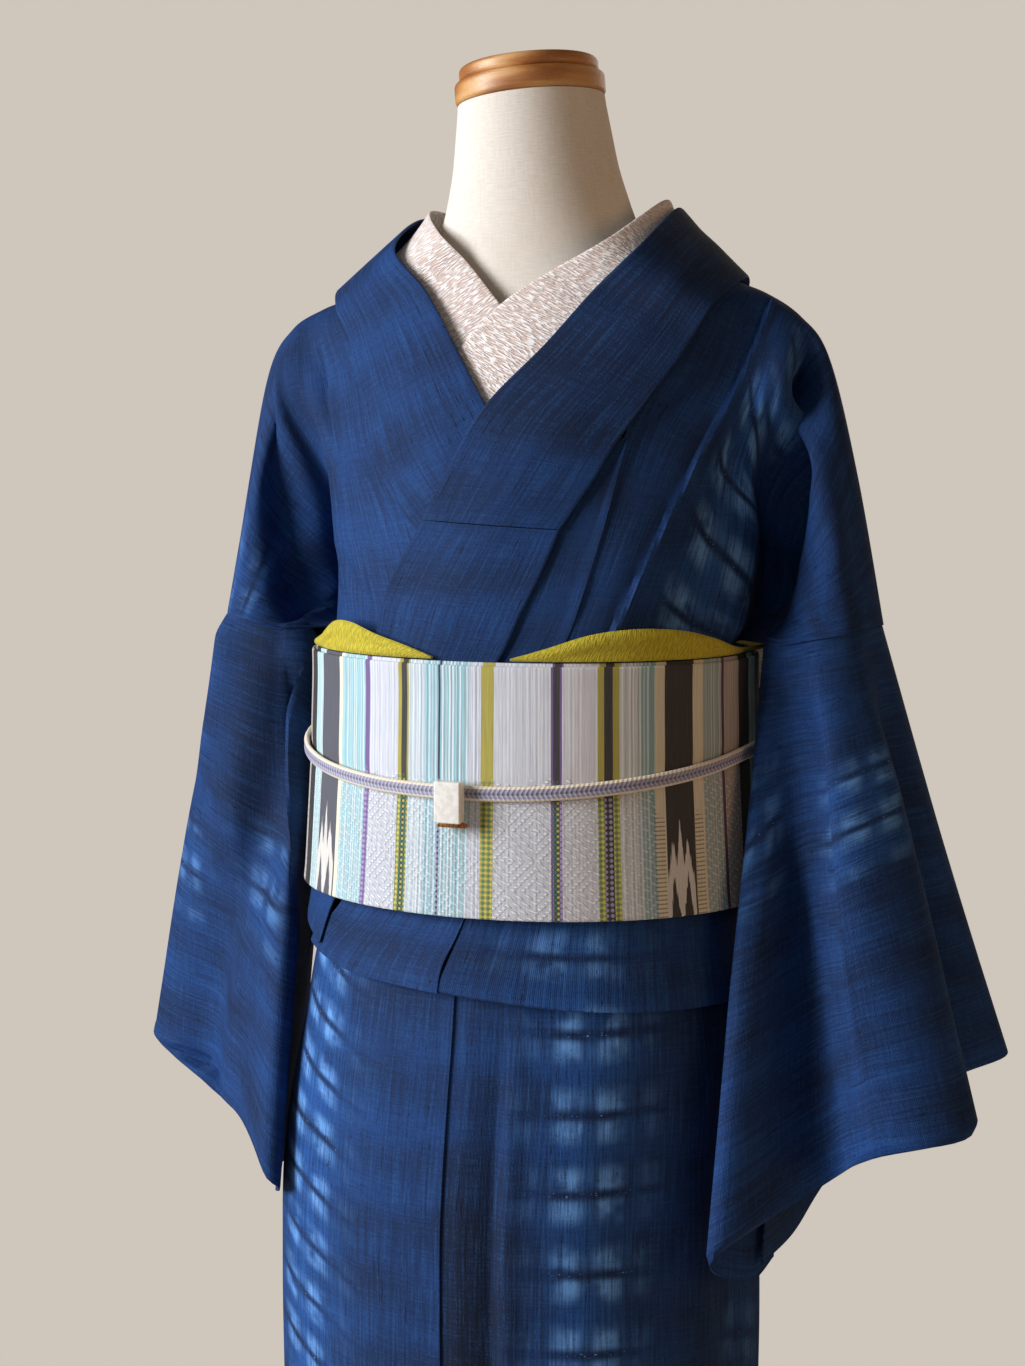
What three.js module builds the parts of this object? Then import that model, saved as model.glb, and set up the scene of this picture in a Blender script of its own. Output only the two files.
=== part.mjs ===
// A tsumugi kimono, left front over right, tied with a striped obi and standing on a limbless dress form.
// Millimetres, +Z up, the floor at Z 0, the front towards -Y, the wearer's left towards +X.
import * as THREE from "three";

// ---- driving dimensions ----
const CLOTH = 1.5; // silk wall
const COLLAR = 2.0; // the collar is folded cloth, so its wall is thicker
const OBI = 2.0; // woven sash wall
const SEAM = 0.3; // gap between two pieces at a seam
const LAY = 1.0; // gap between two layers that lie on each other
const BULK = 0.6; // more room where a layer crosses the thick edge of a collar

const NECK_TOP = 1468; // the wooden cap starts here
const CAP_RING = { radius: 47.5, height: 14, round: 2 };
const CAP_DISC = { radius: 44, height: 9, round: 2.5 };
const CAP_TILT = 5; // degrees, the neck is cut so that the cap leans to the wearer's right
const POLE_RADIUS = 14;
const BASE = { radius: 165, height: 16, round: 5 };
const FORM_BOTTOM = 700;

const OBI_TOP = 1122;
const OBI_BOTTOM = 970;
const TUCK_BOTTOM = 917; // lower edge of the fold of cloth below the sash
const SKIRT_TOP = 1046;
const HEM = 35;

// How far each layer's middle lies outside the skin of the dress form.
const UNDER_SKIRT = CLOTH / 2;
const OVER_SKIRT = UNDER_SKIRT + CLOTH + LAY;
const RIGHT_PANEL = OVER_SKIRT + CLOTH + LAY;
const RIGHT_COLLAR = RIGHT_PANEL + (CLOTH + COLLAR) / 2 + LAY;
const LEFT_PANEL = RIGHT_COLLAR + (CLOTH + COLLAR) / 2 + LAY + BULK;
const LEFT_COLLAR = LEFT_PANEL + (CLOTH + COLLAR) / 2 + LAY;
const SASH_UNDER = LEFT_COLLAR + (COLLAR + OBI) / 2 + BULK;
const SASH_OVER = SASH_UNDER + OBI + LAY;
const RIGHT_BAND = 1.4;
const LEFT_BAND = 3.6;

// ---- materials ----
const paint = (color, roughness, metalness = 0) => () =>
  new THREE.MeshStandardMaterial({ color, roughness, metalness });
const indigoSilk = paint(0x1f3f7d, 0.62);
const sashCloth = paint(0xc9cdd2, 0.7);
const limeCrepe = paint(0xaaa51e, 0.8);
const paleCrepe = paint(0xefe0da, 0.85);
const linen = paint(0xe6ddcf, 0.9);
const wood = paint(0xb97a3c, 0.5);
const braid = paint(0xbdb9c4, 0.6);
const ceramic = paint(0xece6da, 0.25);
const copper = paint(0xc98a4a, 0.3, 1);
const steel = paint(0x9a9a9a, 0.35, 1);

// ---- the body under the cloth: one row per height ----
const BODY = [
  // height, half width, half depth, middle of the depth
  { z: HEM, wide: 148, deep: 115, back: 4 },
  { z: 250, wide: 152, deep: 118, back: 2 },
  { z: 450, wide: 156, deep: 121, back: 0 },
  { z: 690, wide: 158, deep: 123, back: 0 },
  { z: 776, wide: 157, deep: 122, back: 0 },
  { z: 860, wide: 153, deep: 119, back: 0 },
  { z: 916, wide: 146, deep: 115, back: 0 },
  { z: 970, wide: 133, deep: 107, back: 0 },
  { z: 1046, wide: 128, deep: 103, back: 0 },
  { z: 1112, wide: 126, deep: 101, back: 0 },
  { z: 1160, wide: 128, deep: 104, back: 0 },
  { z: 1210, wide: 131, deep: 102, back: 4 },
  { z: 1260, wide: 137, deep: 93, back: 10 },
  { z: 1300, wide: 147, deep: 80, back: 14 },
  { z: 1340, wide: 155, deep: 66, back: 14 },
  { z: 1375, wide: 120, deep: 61, back: 14 },
  { z: 1400, wide: 90, deep: 58, back: 12 },
];

// The dress form itself, bare, with its shoulder caps and its neck leaning forward.
const FORM = [
  { z: FORM_BOTTOM, wide: 128, deep: 96, back: 0 },
  { z: 712, wide: 138, deep: 108, back: 0 },
  { z: 776, wide: 143, deep: 114, back: 0 },
  { z: 860, wide: 141, deep: 111, back: 0 },
  { z: 916, wide: 138, deep: 109, back: 0 },
  { z: 970, wide: 132.4, deep: 106.4, back: 0 },
  { z: 1046, wide: 127.4, deep: 102.4, back: 0 },
  { z: 1112, wide: 123, deep: 98, back: 0 },
  { z: 1160, wide: 124, deep: 100, back: 0 },
  { z: 1210, wide: 126, deep: 96, back: 4 },
  { z: 1240, wide: 130, deep: 90, back: 8 },
  { z: 1265, wide: 138, deep: 84, back: 11 },
  { z: 1290, wide: 146, deep: 75, back: 14 },
  { z: 1310, wide: 144, deep: 68, back: 15 },
  { z: 1328, wide: 128, deep: 61, back: 15 },
  { z: 1345, wide: 104, deep: 58, back: 14 },
  { z: 1365, wide: 78, deep: 57, back: 14 },
  { z: 1395, wide: 62, deep: 56, back: 11 },
  { z: 1425, wide: 53, deep: 51, back: 4 },
  { z: NECK_TOP, wide: 46, deep: 46, back: -4 },
];

const SKIRT_LEAN = 8; // the wrap hangs this far towards the wearer's right

// Soft troughs that run down the skirt: angle at the sash and at the hem, depth and width in degrees.
const SKIRT_TROUGHS = [
  { top: 10, hem: 8, depth: 3.5, width: 7 },
  { top: 46, hem: 52, depth: 3, width: 12 },
  { top: 78, hem: 74, depth: 4, width: 9 },
  { top: 112, hem: 108, depth: 5, width: 10 },
  { top: 150, hem: 156, depth: 4, width: 12 },
  { top: -36, hem: -32, depth: 3, width: 10 },
  { top: -80, hem: -84, depth: 4, width: 9 },
  { top: -118, hem: -110, depth: 5, width: 11 },
  { top: -152, hem: -158, depth: 3.5, width: 12 },
];

// ---- curves and surfaces ----
function spline(p0, p1, p2, p3, t) {
  const bend = 2 * p0 - 5 * p1 + 4 * p2 - p3;
  const twist = 3 * p1 - p0 - 3 * p2 + p3;
  return 0.5 * (2 * p1 + (p2 - p0) * t + bend * t * t + twist * t ** 3);
}

// A value of a table at a height, straight between its rows.
function valueAt(table, column, z) {
  const last = table.length - 2;
  let row = table.findIndex((r, i) => i <= last && z <= table[i + 1].z);
  if (row < 0) row = last;
  const at = (i) => table[Math.min(Math.max(i, 0), last + 1)];
  const low = at(row);
  const high = at(row + 1);
  const share = Math.min(Math.max((z - low.z) / (high.z - low.z), 0), 1);
  return low[column] + (high[column] - low[column]) * share;
}

// The point at an angle round the body, 0 at the front and + to the wearer's left, this far off the skin.
function on(angle, z, out = 0) {
  const turn = THREE.MathUtils.degToRad(angle);
  return [
    (valueAt(BODY, "wide", z) + out) * Math.sin(turn),
    valueAt(BODY, "back", z) - (valueAt(BODY, "deep", z) + out) * Math.cos(turn),
    z,
  ];
}

// The same on the skirt, with its troughs, which fade out under the sash.
function onSkirt(angle, z, out) {
  const down = (SKIRT_TOP - z) / (SKIRT_TOP - HEM);
  const fade = THREE.MathUtils.smoothstep(SKIRT_TOP - z, 110, 260);
  const depth = SKIRT_TROUGHS.reduce((sum, { top, hem, depth: deep, width }) => {
    const middle = top + (hem - top) * down;
    return sum + deep * fade * Math.exp(-(((angle - middle) / width) ** 2));
  }, 0);
  const [x, y] = on(angle, z, out - depth);
  return [x - SKIRT_LEAN * THREE.MathUtils.smoothstep(SKIRT_TOP - z, 110, 300), y, z];
}

// Points along a smooth curve through some points, with so many steps for each span.
function curve(points, steps) {
  const last = points.length - 1;
  const at = (i) => points[Math.min(Math.max(i, 0), last)];
  const made = [];
  for (let i = 0; i < last; i++) {
    const count = typeof steps === "function" ? steps(i) : steps;
    const [p0, p1, p2, p3] = [at(i - 1), at(i), at(i + 1), at(i + 2)];
    for (let k = 0; k < count; k++)
      made.push([0, 1, 2].map((n) => spline(p0[n], p1[n], p2[n], p3[n], k / count)));
  }
  made.push([...points[last]]);
  return made;
}

// A row that follows the body: its angles are smoothed, and each one then gives a point.
function aroundBody(z, marks) {
  const smooth = (steps) => curve(marks.map(([angle, out]) => [angle, out, 0]), steps);
  return { fine: (steps) => smooth(steps).map(([angle, out]) => on(angle, z, out)) };
}

// A smooth grid through rows, each a list of points or a row that follows the body.
function loft(rows, stepsAlong, stepsAcross) {
  const fine = rows.map((row) => (row.fine ? row.fine(stepsAcross) : curve(row, stepsAcross)));
  const columns = fine[0].map((_, j) => curve(fine.map((row) => row[j]), stepsAlong));
  return columns[0].map((_, i) => columns.map((column) => column[i]));
}

// A grid round the body from a table of rows: height, angle at each edge and how far out each edge lies.
function round(rows, pieces, place = on) {
  return rows.map(({ z, from, to, outFrom, outTo }) =>
    Array.from({ length: pieces + 1 }, (_, j) => {
      const share = j / pieces;
      return place(from + (to - from) * share, z, outFrom + (outTo - outFrom) * share);
    }),
  );
}

// The normal of a grid at each of its points.
function normals(grid, ring) {
  const rows = grid.length;
  const columns = grid[0].length;
  const vector = (i, j) => new THREE.Vector3(...grid[i][j]);
  return grid.map((row, i) =>
    row.map((_, j) => {
      const before = ring ? (j + columns - 1) % columns : Math.max(j - 1, 0);
      const after = ring ? (j + 1) % columns : Math.min(j + 1, columns - 1);
      const across = vector(i, after).sub(vector(i, before));
      const along = vector(Math.min(i + 1, rows - 1), j).sub(vector(Math.max(i - 1, 0), j));
      return across.cross(along).normalize();
    }),
  );
}

// A closed body from its corner points and faces, turned to face out.
function closed(name, points, faces, material) {
  let volume = 0;
  const [a, b, c] = [new THREE.Vector3(), new THREE.Vector3(), new THREE.Vector3()];
  for (const [i, j, k] of faces) {
    b.set(...points[j]).cross(c.set(...points[k]));
    volume += a.set(...points[i]).dot(b);
  }
  const geometry = new THREE.BufferGeometry();
  geometry.setAttribute("position", new THREE.Float32BufferAttribute(points.flat(), 3));
  geometry.setIndex(faces.flatMap(([i, j, k]) => (volume < 0 ? [i, k, j] : [i, j, k])));
  geometry.computeVertexNormals();
  const mesh = new THREE.Mesh(geometry, material());
  mesh.name = name;
  return mesh;
}

// A cloth wall whose middle is the grid: both faces, and the rims that join them.
function wall(name, grid, thickness, material, ring = false) {
  const rows = grid.length;
  const columns = grid[0].length;
  const normal = normals(grid, ring);
  const shift = (p, direction, by) => p.map((v, n) => v + direction.getComponent(n) * by);
  const face = (by) => grid.flatMap((row, i) => row.map((p, j) => shift(p, normal[i][j], by)));
  const points = [...face(thickness / 2), ...face(-thickness / 2)];
  const back = rows * columns;
  const id = (i, j) => i * columns + (j % columns);
  const faces = [];
  const quad = (a, b, c, d) => faces.push([a, b, c], [a, c, d]);
  const spans = ring ? columns : columns - 1;
  for (let i = 0; i < rows - 1; i++)
    for (let j = 0; j < spans; j++) {
      const corners = [id(i, j), id(i, j + 1), id(i + 1, j + 1), id(i + 1, j)];
      quad(...corners);
      const [a, b, c, d] = corners.map((corner) => back + corner);
      faces.push([a, c, b], [a, d, c]);
    }
  for (let j = 0; j < spans; j++) {
    quad(id(0, j), back + id(0, j), back + id(0, j + 1), id(0, j + 1));
    quad(id(rows - 1, j + 1), back + id(rows - 1, j + 1), back + id(rows - 1, j), id(rows - 1, j));
  }
  if (!ring)
    for (let i = 0; i < rows - 1; i++) {
      quad(id(i + 1, 0), back + id(i + 1, 0), back + id(i, 0), id(i, 0));
      quad(id(i, columns - 1), back + id(i, columns - 1), back + id(i + 1, columns - 1), id(i + 1, columns - 1));
    }
  return closed(name, points, faces, material);
}

// A solid skinned over rings, with a flat face at each end.
function skinned(name, rings, material) {
  const count = rings[0].length;
  const points = rings.flat();
  const faces = [];
  for (let i = 0; i < rings.length - 1; i++)
    for (let j = 0; j < count; j++) {
      const a = i * count + j;
      const b = i * count + ((j + 1) % count);
      faces.push([a, b, b + count], [a, b + count, a + count]);
    }
  const top = (rings.length - 1) * count;
  for (let j = 1; j < count - 1; j++) {
    faces.push([0, j + 1, j], [top, top + j, top + j + 1]);
  }
  return closed(name, points, faces, material);
}

const mirrorX = (grid) => grid.map((row) => row.map(([x, y, z]) => [-x, y, z]));
const part = new THREE.Group();

// ---- the dress form and its stand ----
const lean = THREE.MathUtils.degToRad(CAP_TILT);
const FORM_SIDES = 40;
const FOOT = { inset: 0.8, drop: 6 }; // the form's underside is drawn in and rounded

function dressForm() {
  const rings = FORM.map(({ z, wide, deep, back }) =>
    Array.from({ length: FORM_SIDES }, (_, j) => {
      const turn = (j / FORM_SIDES) * 2 * Math.PI;
      const rise = z === NECK_TOP ? Math.tan(lean) * wide * Math.sin(turn) : 0;
      return [wide * Math.sin(turn), back - deep * Math.cos(turn), z + rise];
    }),
  );
  const foot = rings[0].map(([x, y]) => [x * FOOT.inset, y * FOOT.inset, FORM_BOTTOM - FOOT.drop]);
  return skinned("form_body", [foot, ...rings], linen);
}

// A turned disc, with its edges rounded.
function turned(name, radius, height, edge, material) {
  const side = [[radius - edge, 0], [radius, edge], [radius, height - edge], [radius - edge, height]];
  const profile = [[0, 0], ...side, [0, height]].map(([x, y]) => new THREE.Vector2(x, y));
  const geometry = new THREE.LatheGeometry(profile, FORM_SIDES);
  geometry.rotateX(Math.PI / 2);
  const mesh = new THREE.Mesh(geometry, material());
  mesh.name = name;
  return mesh;
}

function neckCap() {
  const cap = new THREE.Group();
  const ring = turned("form_cap_ring", CAP_RING.radius, CAP_RING.height, CAP_RING.round, wood);
  const disc = turned("form_cap_disc", CAP_DISC.radius, CAP_DISC.height, CAP_DISC.round, wood);
  disc.position.z = CAP_RING.height + 0.05;
  cap.add(ring, disc);
  cap.rotation.y = -lean;
  cap.position.set(0, FORM.at(-1).back, NECK_TOP + SEAM);
  return cap;
}

function stand() {
  const base = turned("form_base", BASE.radius, BASE.height, BASE.round, steel);
  const poleTop = FORM_BOTTOM - FOOT.drop;
  const tube = new THREE.CylinderGeometry(POLE_RADIUS, POLE_RADIUS, poleTop - BASE.height, 24);
  const pole = new THREE.Mesh(tube.rotateX(Math.PI / 2), steel());
  pole.name = "form_pole";
  pole.position.z = (poleTop + BASE.height) / 2;
  return [base, pole];
}

// ---- the body panels, one length of cloth over each shoulder ----
// Across each row: the front edge, a pleat, the side of the chest, the tuck under the arm,
// the hanging part and the armhole seam. Down the rows: from the front tuck over the shoulder to the back.
const LOW_ROWS = [
  // angles round the body
  { z: TUCK_BOTTOM, left: -4, right: 8, pleat: 30, side: 60, tuck: 76, hang: 87, arm: 98 },
  { z: 936, left: -3, right: 8, pleat: 31, side: 60, tuck: 76, hang: 87, arm: 98 },
  { z: OBI_BOTTOM, left: 2, right: 8, pleat: 32, side: 62, tuck: 78, hang: 88, arm: 98 },
  { z: 1046, left: 12, right: 8, pleat: 36, side: 65, tuck: 80, hang: 90, arm: 98 },
  { z: 1112, left: 21, right: 7, pleat: 39, side: 68, tuck: 86, hang: 95, arm: 100 },
  { z: 1129, left: 25, right: 6, pleat: 41, side: 76, tuck: 92, hang: 98, arm: 102 },
];
const BACK_ROWS = [
  // angles from the middle of the back
  { z: 1129, pleat: 24, side: 46, tuck: 62, hang: 69, arm: 74 },
  { z: 1112, pleat: 24, side: 44, tuck: 60, hang: 70, arm: 76 },
  { z: 1046, pleat: 22, side: 42, tuck: 60, hang: 72, arm: 80 },
  { z: OBI_BOTTOM, pleat: 22, side: 42, tuck: 60, hang: 72, arm: 81 },
  { z: TUCK_BOTTOM, pleat: 22, side: 42, tuck: 60, hang: 72, arm: 81 },
];
const NAMES = ["front", "pleat", "side", "tuck", "hang", "arm"];

// The free-hanging rows, wearer's left: each point is X, Y, Z.
const SHOULDER_ROWS = [
  { tuck: [141, 34, 1144], hang: [148, 22, 1137], arm: [157, -12, 1132] },
  { tuck: [144, 40, 1180], hang: [160, 14, 1156], arm: [174, -25, 1132] },
  { side: [143, -8, 1240], tuck: [153, 12, 1215], hang: [178, -8, 1175], arm: [195, -28, 1136] },
  { side: [165, -22, 1290], tuck: [178, -19, 1260], hang: [198, -18, 1198], arm: [213, -20, 1139.5] },
  { side: [171, -8, 1322], tuck: [188, -8, 1290], hang: [206, -5, 1220], arm: [222, -4, 1142] },
  { side: [173, 6, 1331], tuck: [191, 6, 1306], hang: [209, 9, 1234], arm: [226, 12, 1143] },
  { side: [170, 24, 1322], tuck: [188, 26, 1290], hang: [206, 26, 1222], arm: [221, 28, 1142] },
  { side: [163, 42, 1298], tuck: [180, 42, 1264], hang: [198, 42, 1200], arm: [209, 42, 1139.5] },
  { side: [150, 66, 1260], tuck: [160, 62, 1225], hang: [178, 62, 1176], arm: [190, 58, 1136] },
  { side: [134, 84, 1215], tuck: [142, 74, 1185], hang: [158, 72, 1158], arm: [168, 64, 1132] },
  { side: [116, 92, 1160], tuck: [134, 78, 1145], hang: [144, 72, 1137], arm: [155, 58, 1132] },
];

// Front edge and pleat of the same rows, which differ on the two sides.
const LEFT_EDGE = [
  { front: on(28, 1150, LEFT_PANEL), pleat: on(43, 1148, LEFT_PANEL), side: on(80, 1146, LEFT_PANEL - 1) },
  { front: on(34, 1202, LEFT_PANEL), pleat: on(51, 1198, LEFT_PANEL), side: on(88, 1195, LEFT_PANEL - 1) },
  { front: on(37, 1262, LEFT_PANEL - 1), pleat: on(58, 1244, LEFT_PANEL) },
  { front: on(44, 1308, LEFT_PANEL - 3), pleat: on(66, 1292, LEFT_PANEL) },
  { front: on(52, 1338, LEFT_PANEL - 3), pleat: [152, -14, 1332] },
  { front: [133, 8, 1352.5], pleat: [152, 7, 1345] },
];
const RIGHT_EDGE = [
  { front: on(6, 1152, RIGHT_PANEL), pleat: on(40, 1150, RIGHT_PANEL), side: on(80, 1146, RIGHT_PANEL) },
  { front: on(14, 1206, RIGHT_PANEL), pleat: on(48, 1198, RIGHT_PANEL), side: on(86, 1195, RIGHT_PANEL) },
  { front: on(29, 1254, RIGHT_PANEL - 0.6), pleat: on(56, 1244, RIGHT_PANEL) },
  { front: on(38, 1306, RIGHT_PANEL - 2), pleat: on(64, 1292, RIGHT_PANEL + 2) },
  { front: on(49, 1336, RIGHT_PANEL - 2), pleat: [150, -14, 1330] },
  { front: [132, 8, 1349], pleat: [150, 7, 1343] },
];
const BACK_EDGE = [
  { front: [118, 74, 1342], pleat: [142, 42, 1334] },
  { front: [72, 111, 1330], pleat: [124, 76, 1312] },
  { front: [SEAM / 2, 126.5, 1317], pleat: [96, 101, 1278] },
  { front: [SEAM / 2, 126, 1262], pleat: [62, 112, 1225] },
  { front: [SEAM / 2, 120, 1168], pleat: [56, 112, 1155] },
];

const outAt = (panel, angle) => panel + (RIGHT_PANEL - panel) * THREE.MathUtils.smoothstep(angle, 50, 98);

function panelRows(edges, frontKey, panel) {
  const low = LOW_ROWS.map((row) => {
    const angles = [row[frontKey], row.pleat, row.side, row.tuck, row.hang, row.arm];
    return aroundBody(row.z, angles.map((angle) => [angle, outAt(panel, angle)]));
  });
  const hung = SHOULDER_ROWS.map((row, i) => {
    const edge = edges[i] ?? BACK_EDGE[i - edges.length];
    return NAMES.map((name) => edge[name] ?? row[name]);
  });
  const behind = BACK_ROWS.map((row) => {
    const angles = [SEAM / 4, row.pleat, row.side, row.tuck, row.hang, row.arm];
    return aroundBody(row.z, angles.map((angle) => [180 - angle, RIGHT_PANEL]));
  });
  return [...low, ...hung, ...behind];
}

const ROW_STEPS = 2; // steps between two free-hanging rows
const PIECES_ACROSS = 3; // between two columns of a row
const FIRST_ARM = LOW_ROWS.length; // the armhole seam starts at this row of the fine grid
const LAST_ARM = FIRST_ARM + (SHOULDER_ROWS.length - 1) * ROW_STEPS;
const FIRST_BEHIND = FIRST_ARM + LEFT_EDGE.length * ROW_STEPS;
const BACK_SEAM = 0.6; // nearest that a panel's middle comes to the seam down the back

// The fine grid of one panel, kept on its own side of the seam down the back.
function panelGrid(edges, frontKey, panel) {
  const hanging = (i) => i >= LOW_ROWS.length && i < LOW_ROWS.length + SHOULDER_ROWS.length - 1;
  const steps = (i) => (hanging(i) ? ROW_STEPS : 1);
  const grid = loft(panelRows(edges, frontKey, panel), steps, PIECES_ACROSS);
  const keptBack = (row) => row.map(([x, y, z]) => [Math.max(x, BACK_SEAM), y, z]);
  return grid.map((row, i) => (i < FIRST_BEHIND ? row : keptBack(row)));
}

const leftPanel = panelGrid(LEFT_EDGE, "left", LEFT_PANEL);
const rightPanel = mirrorX(panelGrid(RIGHT_EDGE, "right", RIGHT_PANEL));

// The wedge of cloth between the left collar and the left panel, down to the tuck.
const OKUMI = [
  { z: TUCK_BOTTOM, from: -56, to: -4.2 },
  { z: 936, from: -50, to: -3.2 },
  { z: OBI_BOTTOM, from: -38, to: 1.8 },
  { z: 1046, from: -14, to: 11.8 },
  { z: 1112, from: 2, to: 20.8 },
  { z: 1150, from: 12, to: 27.6 },
  { z: 1202, from: 21, to: 33.0 },
  { z: 1238, from: 29, to: 34.9 },
  { z: 1256, from: 33.6, to: 35.8 },
];

const OKUMI_OUT = LEFT_PANEL - 0.2;
const OKUMI_PIECES = 8;

// ---- the collar, from the nape round the neck and down each front ----
// Each station: the edge against the neck and the outer edge.
const COLLAR_BACK = [
  { inner: [SEAM / 2, 104, 1378], outer: [SEAM / 2, 130, 1326] },
  { inner: [45, 92, 1387], outer: [64, 122, 1333] },
  { inner: [77, 62, 1397], outer: [112, 84, 1347] },
  { inner: [88, 22, 1401], outer: [138, 12, 1356] },
];
const LEFT_FRONT = [
  { inner: [39, 1372], outer: [53, 1338] },
  { inner: [23, 1346], outer: [47, 1313] },
  { inner: [13, 1313], outer: [41, 1283] },
  { inner: [2, 1277], outer: [35, 1256] },
  { inner: [-5, 1241], outer: [30, 1229] },
  { inner: [-11, 1208], outer: [24, 1203] },
];
const LEFT_LOWER = [
  { inner: [-11.1, 1207.4], outer: [23.9, 1202.4] },
  { inner: [-18, 1181], outer: [20, 1176] },
  { inner: [-23, 1159], outer: [15, 1150] },
  { inner: [-27, 1132], outer: [10, 1125] },
  { inner: [-40, 1070], outer: [-6, 1062] },
  { inner: [-56, 1004], outer: [-30, 1000] },
  { inner: [-66, 972], outer: [-42, 966] },
  { inner: [-71, 953], outer: [-50, 938] },
];
const RIGHT_FRONT = [
  { inner: [38, 1376], outer: [52, 1342] },
  { inner: [19, 1349], outer: [43, 1320] },
  { inner: [8, 1311], outer: [36, 1278] },
  { inner: [-1, 1277], outer: [28, 1236] },
  { inner: [-10, 1244], outer: [16, 1205] },
  { inner: [-21, 1205], outer: [0, 1170] },
  { inner: [-32, 1160], outer: [-12, 1130] },
  { inner: [-40, 1124], outer: [-22, 1108] },
];

// Rows of a strip from its stations: angles lie this far off the body, points stay as they are.
function strip(stations, out) {
  const place = (p) => (p.length === 3 ? p : on(p[0], p[1], out));
  return stations.map(({ inner, outer }) => {
    const [a, b] = [place(inner), place(outer)];
    const middle = a.map((v, n) => (v + b[n]) / 2);
    const flat = inner.length === 3 || outer.length === 3;
    return [a, flat ? middle : on((inner[0] + outer[0]) / 2, (inner[1] + outer[1]) / 2, out), b];
  });
}

// ---- the pale band inside the collar ----
const BAND_BACK = [
  { inner: [SEAM / 2, 98, 1386], outer: [SEAM / 2, 107, 1360] },
  { inner: [42, 86, 1394], outer: [52, 97, 1368] },
  { inner: [70, 58, 1403], outer: [82, 64, 1377] },
  { inner: [80, 20, 1406], outer: [92, 20, 1382] },
];
const LEFT_BAND_FRONT = [
  { inner: [33, 1378], outer: [46, 1352] },
  { inner: [12, 1357], outer: [28, 1330] },
  { inner: [0, 1338], outer: [18, 1308] },
  { inner: [-9, 1311], outer: [8, 1276] },
  { inner: [-16, 1290], outer: [1, 1258] },
];
const RIGHT_BAND_FRONT = [
  { inner: [26, 1386], outer: [45, 1356] },
  { inner: [11, 1366], outer: [27, 1332] },
  { inner: [0, 1339], outer: [16, 1306] },
  { inner: [-10, 1312], outer: [6, 1276] },
];

// ---- sleeves: strands that hang from the armhole seam to the cuff ----
const LEFT_SLEEVE = [
  // from the front edge of the slit, forward round the fold of the shoulder, to the back edge
  { top: [158, 18, 1116], middle: [171, -2, 930], foot: [174, -30, 750] },
  { top: [157, 4, 1122], middle: [162, -28, 940], foot: [166, -56, 742] },
  { middle: [157, -56, 948], foot: [152, -86, 764] },
  { middle: [184, -28, 970], foot: [200, -36, 800] },
  { middle: [210, -58, 984], foot: [238, -80, 834] },
  { middle: [251, -22, 1000], foot: [297, -42, 846] },
  { middle: [244, 16, 1002], foot: [266, 38, 852] },
  { middle: [259, 38, 1005], foot: [297, 70, 865] },
  { middle: [252, 66, 1000], foot: [282, 104, 862] },
  { middle: [228, 86, 990], foot: [250, 118, 850] },
  { middle: [206, 84, 980], foot: [222, 98, 832] },
  { middle: [190, 66, 965], foot: [202, 62, 802] },
  { middle: [180, 44, 950], foot: [188, 24, 776] },
  { top: [158, 50, 1122], middle: [176, 20, 940], foot: [180, -8, 758] },
  { top: [158, 40, 1116], middle: [174, 10, 930], foot: [176, -28, 750] },
];
const RIGHT_SLEEVE = [
  { top: [158, 18, 1116], middle: [172, 0, 930], foot: [176, -30, 752] },
  { top: [157, 4, 1122], middle: [164, -26, 940], foot: [168, -60, 748] },
  { middle: [158, -54, 950], foot: [155, -84, 770] },
  { middle: [182, -46, 965], foot: [178, -72, 806] },
  { middle: [208, -40, 978], foot: [206, -50, 812] },
  { middle: [232, -22, 990], foot: [246, -20, 818] },
  { middle: [246, -2, 996], foot: [276, 2, 824] },
  { middle: [260, 20, 1004], foot: [301, 30, 829] },
  { middle: [250, 48, 998], foot: [286, 70, 828] },
  { middle: [226, 72, 990], foot: [252, 96, 822] },
  { middle: [204, 78, 980], foot: [222, 88, 812] },
  { middle: [190, 64, 965], foot: [204, 60, 796] },
  { middle: [180, 44, 950], foot: [190, 24, 776] },
  { top: [158, 50, 1122], middle: [177, 20, 940], foot: [182, -8, 758] },
  { top: [158, 40, 1116], middle: [175, 10, 930], foot: [178, -28, 752] },
];

const SLEEVE_DROP = SEAM + 0.5; // the seam is lapped a little, so its gap is measured along the slope

// The tops of the inner strands are the panel's own seam points, a seam's gap lower.
function sleeve(name, strands, panel, side) {
  const seam = panel.slice(FIRST_ARM, LAST_ARM + 1).map((row) => row[row.length - 1]);
  const lowered = seam.map(([x, y, z]) => [x, y, z - SLEEVE_DROP]);
  const flip = ([x, y, z]) => [side * x, y, z];
  const outside = (key) => curve(strands.map((strand) => flip(strand[key])), ROW_STEPS);
  const free = strands.filter((strand) => strand.top).map((strand) => flip(strand.top));
  const first = curve([free[0], free[1], lowered[0]], ROW_STEPS).slice(0, -1);
  const last = curve([lowered[lowered.length - 1], free[2], free[3]], ROW_STEPS).slice(1);
  const rows = [[...first, ...lowered, ...last], outside("middle"), outside("foot")];
  return wall(name, loft(rows, 4, 1), CLOTH, indigoSilk);
}

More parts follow.
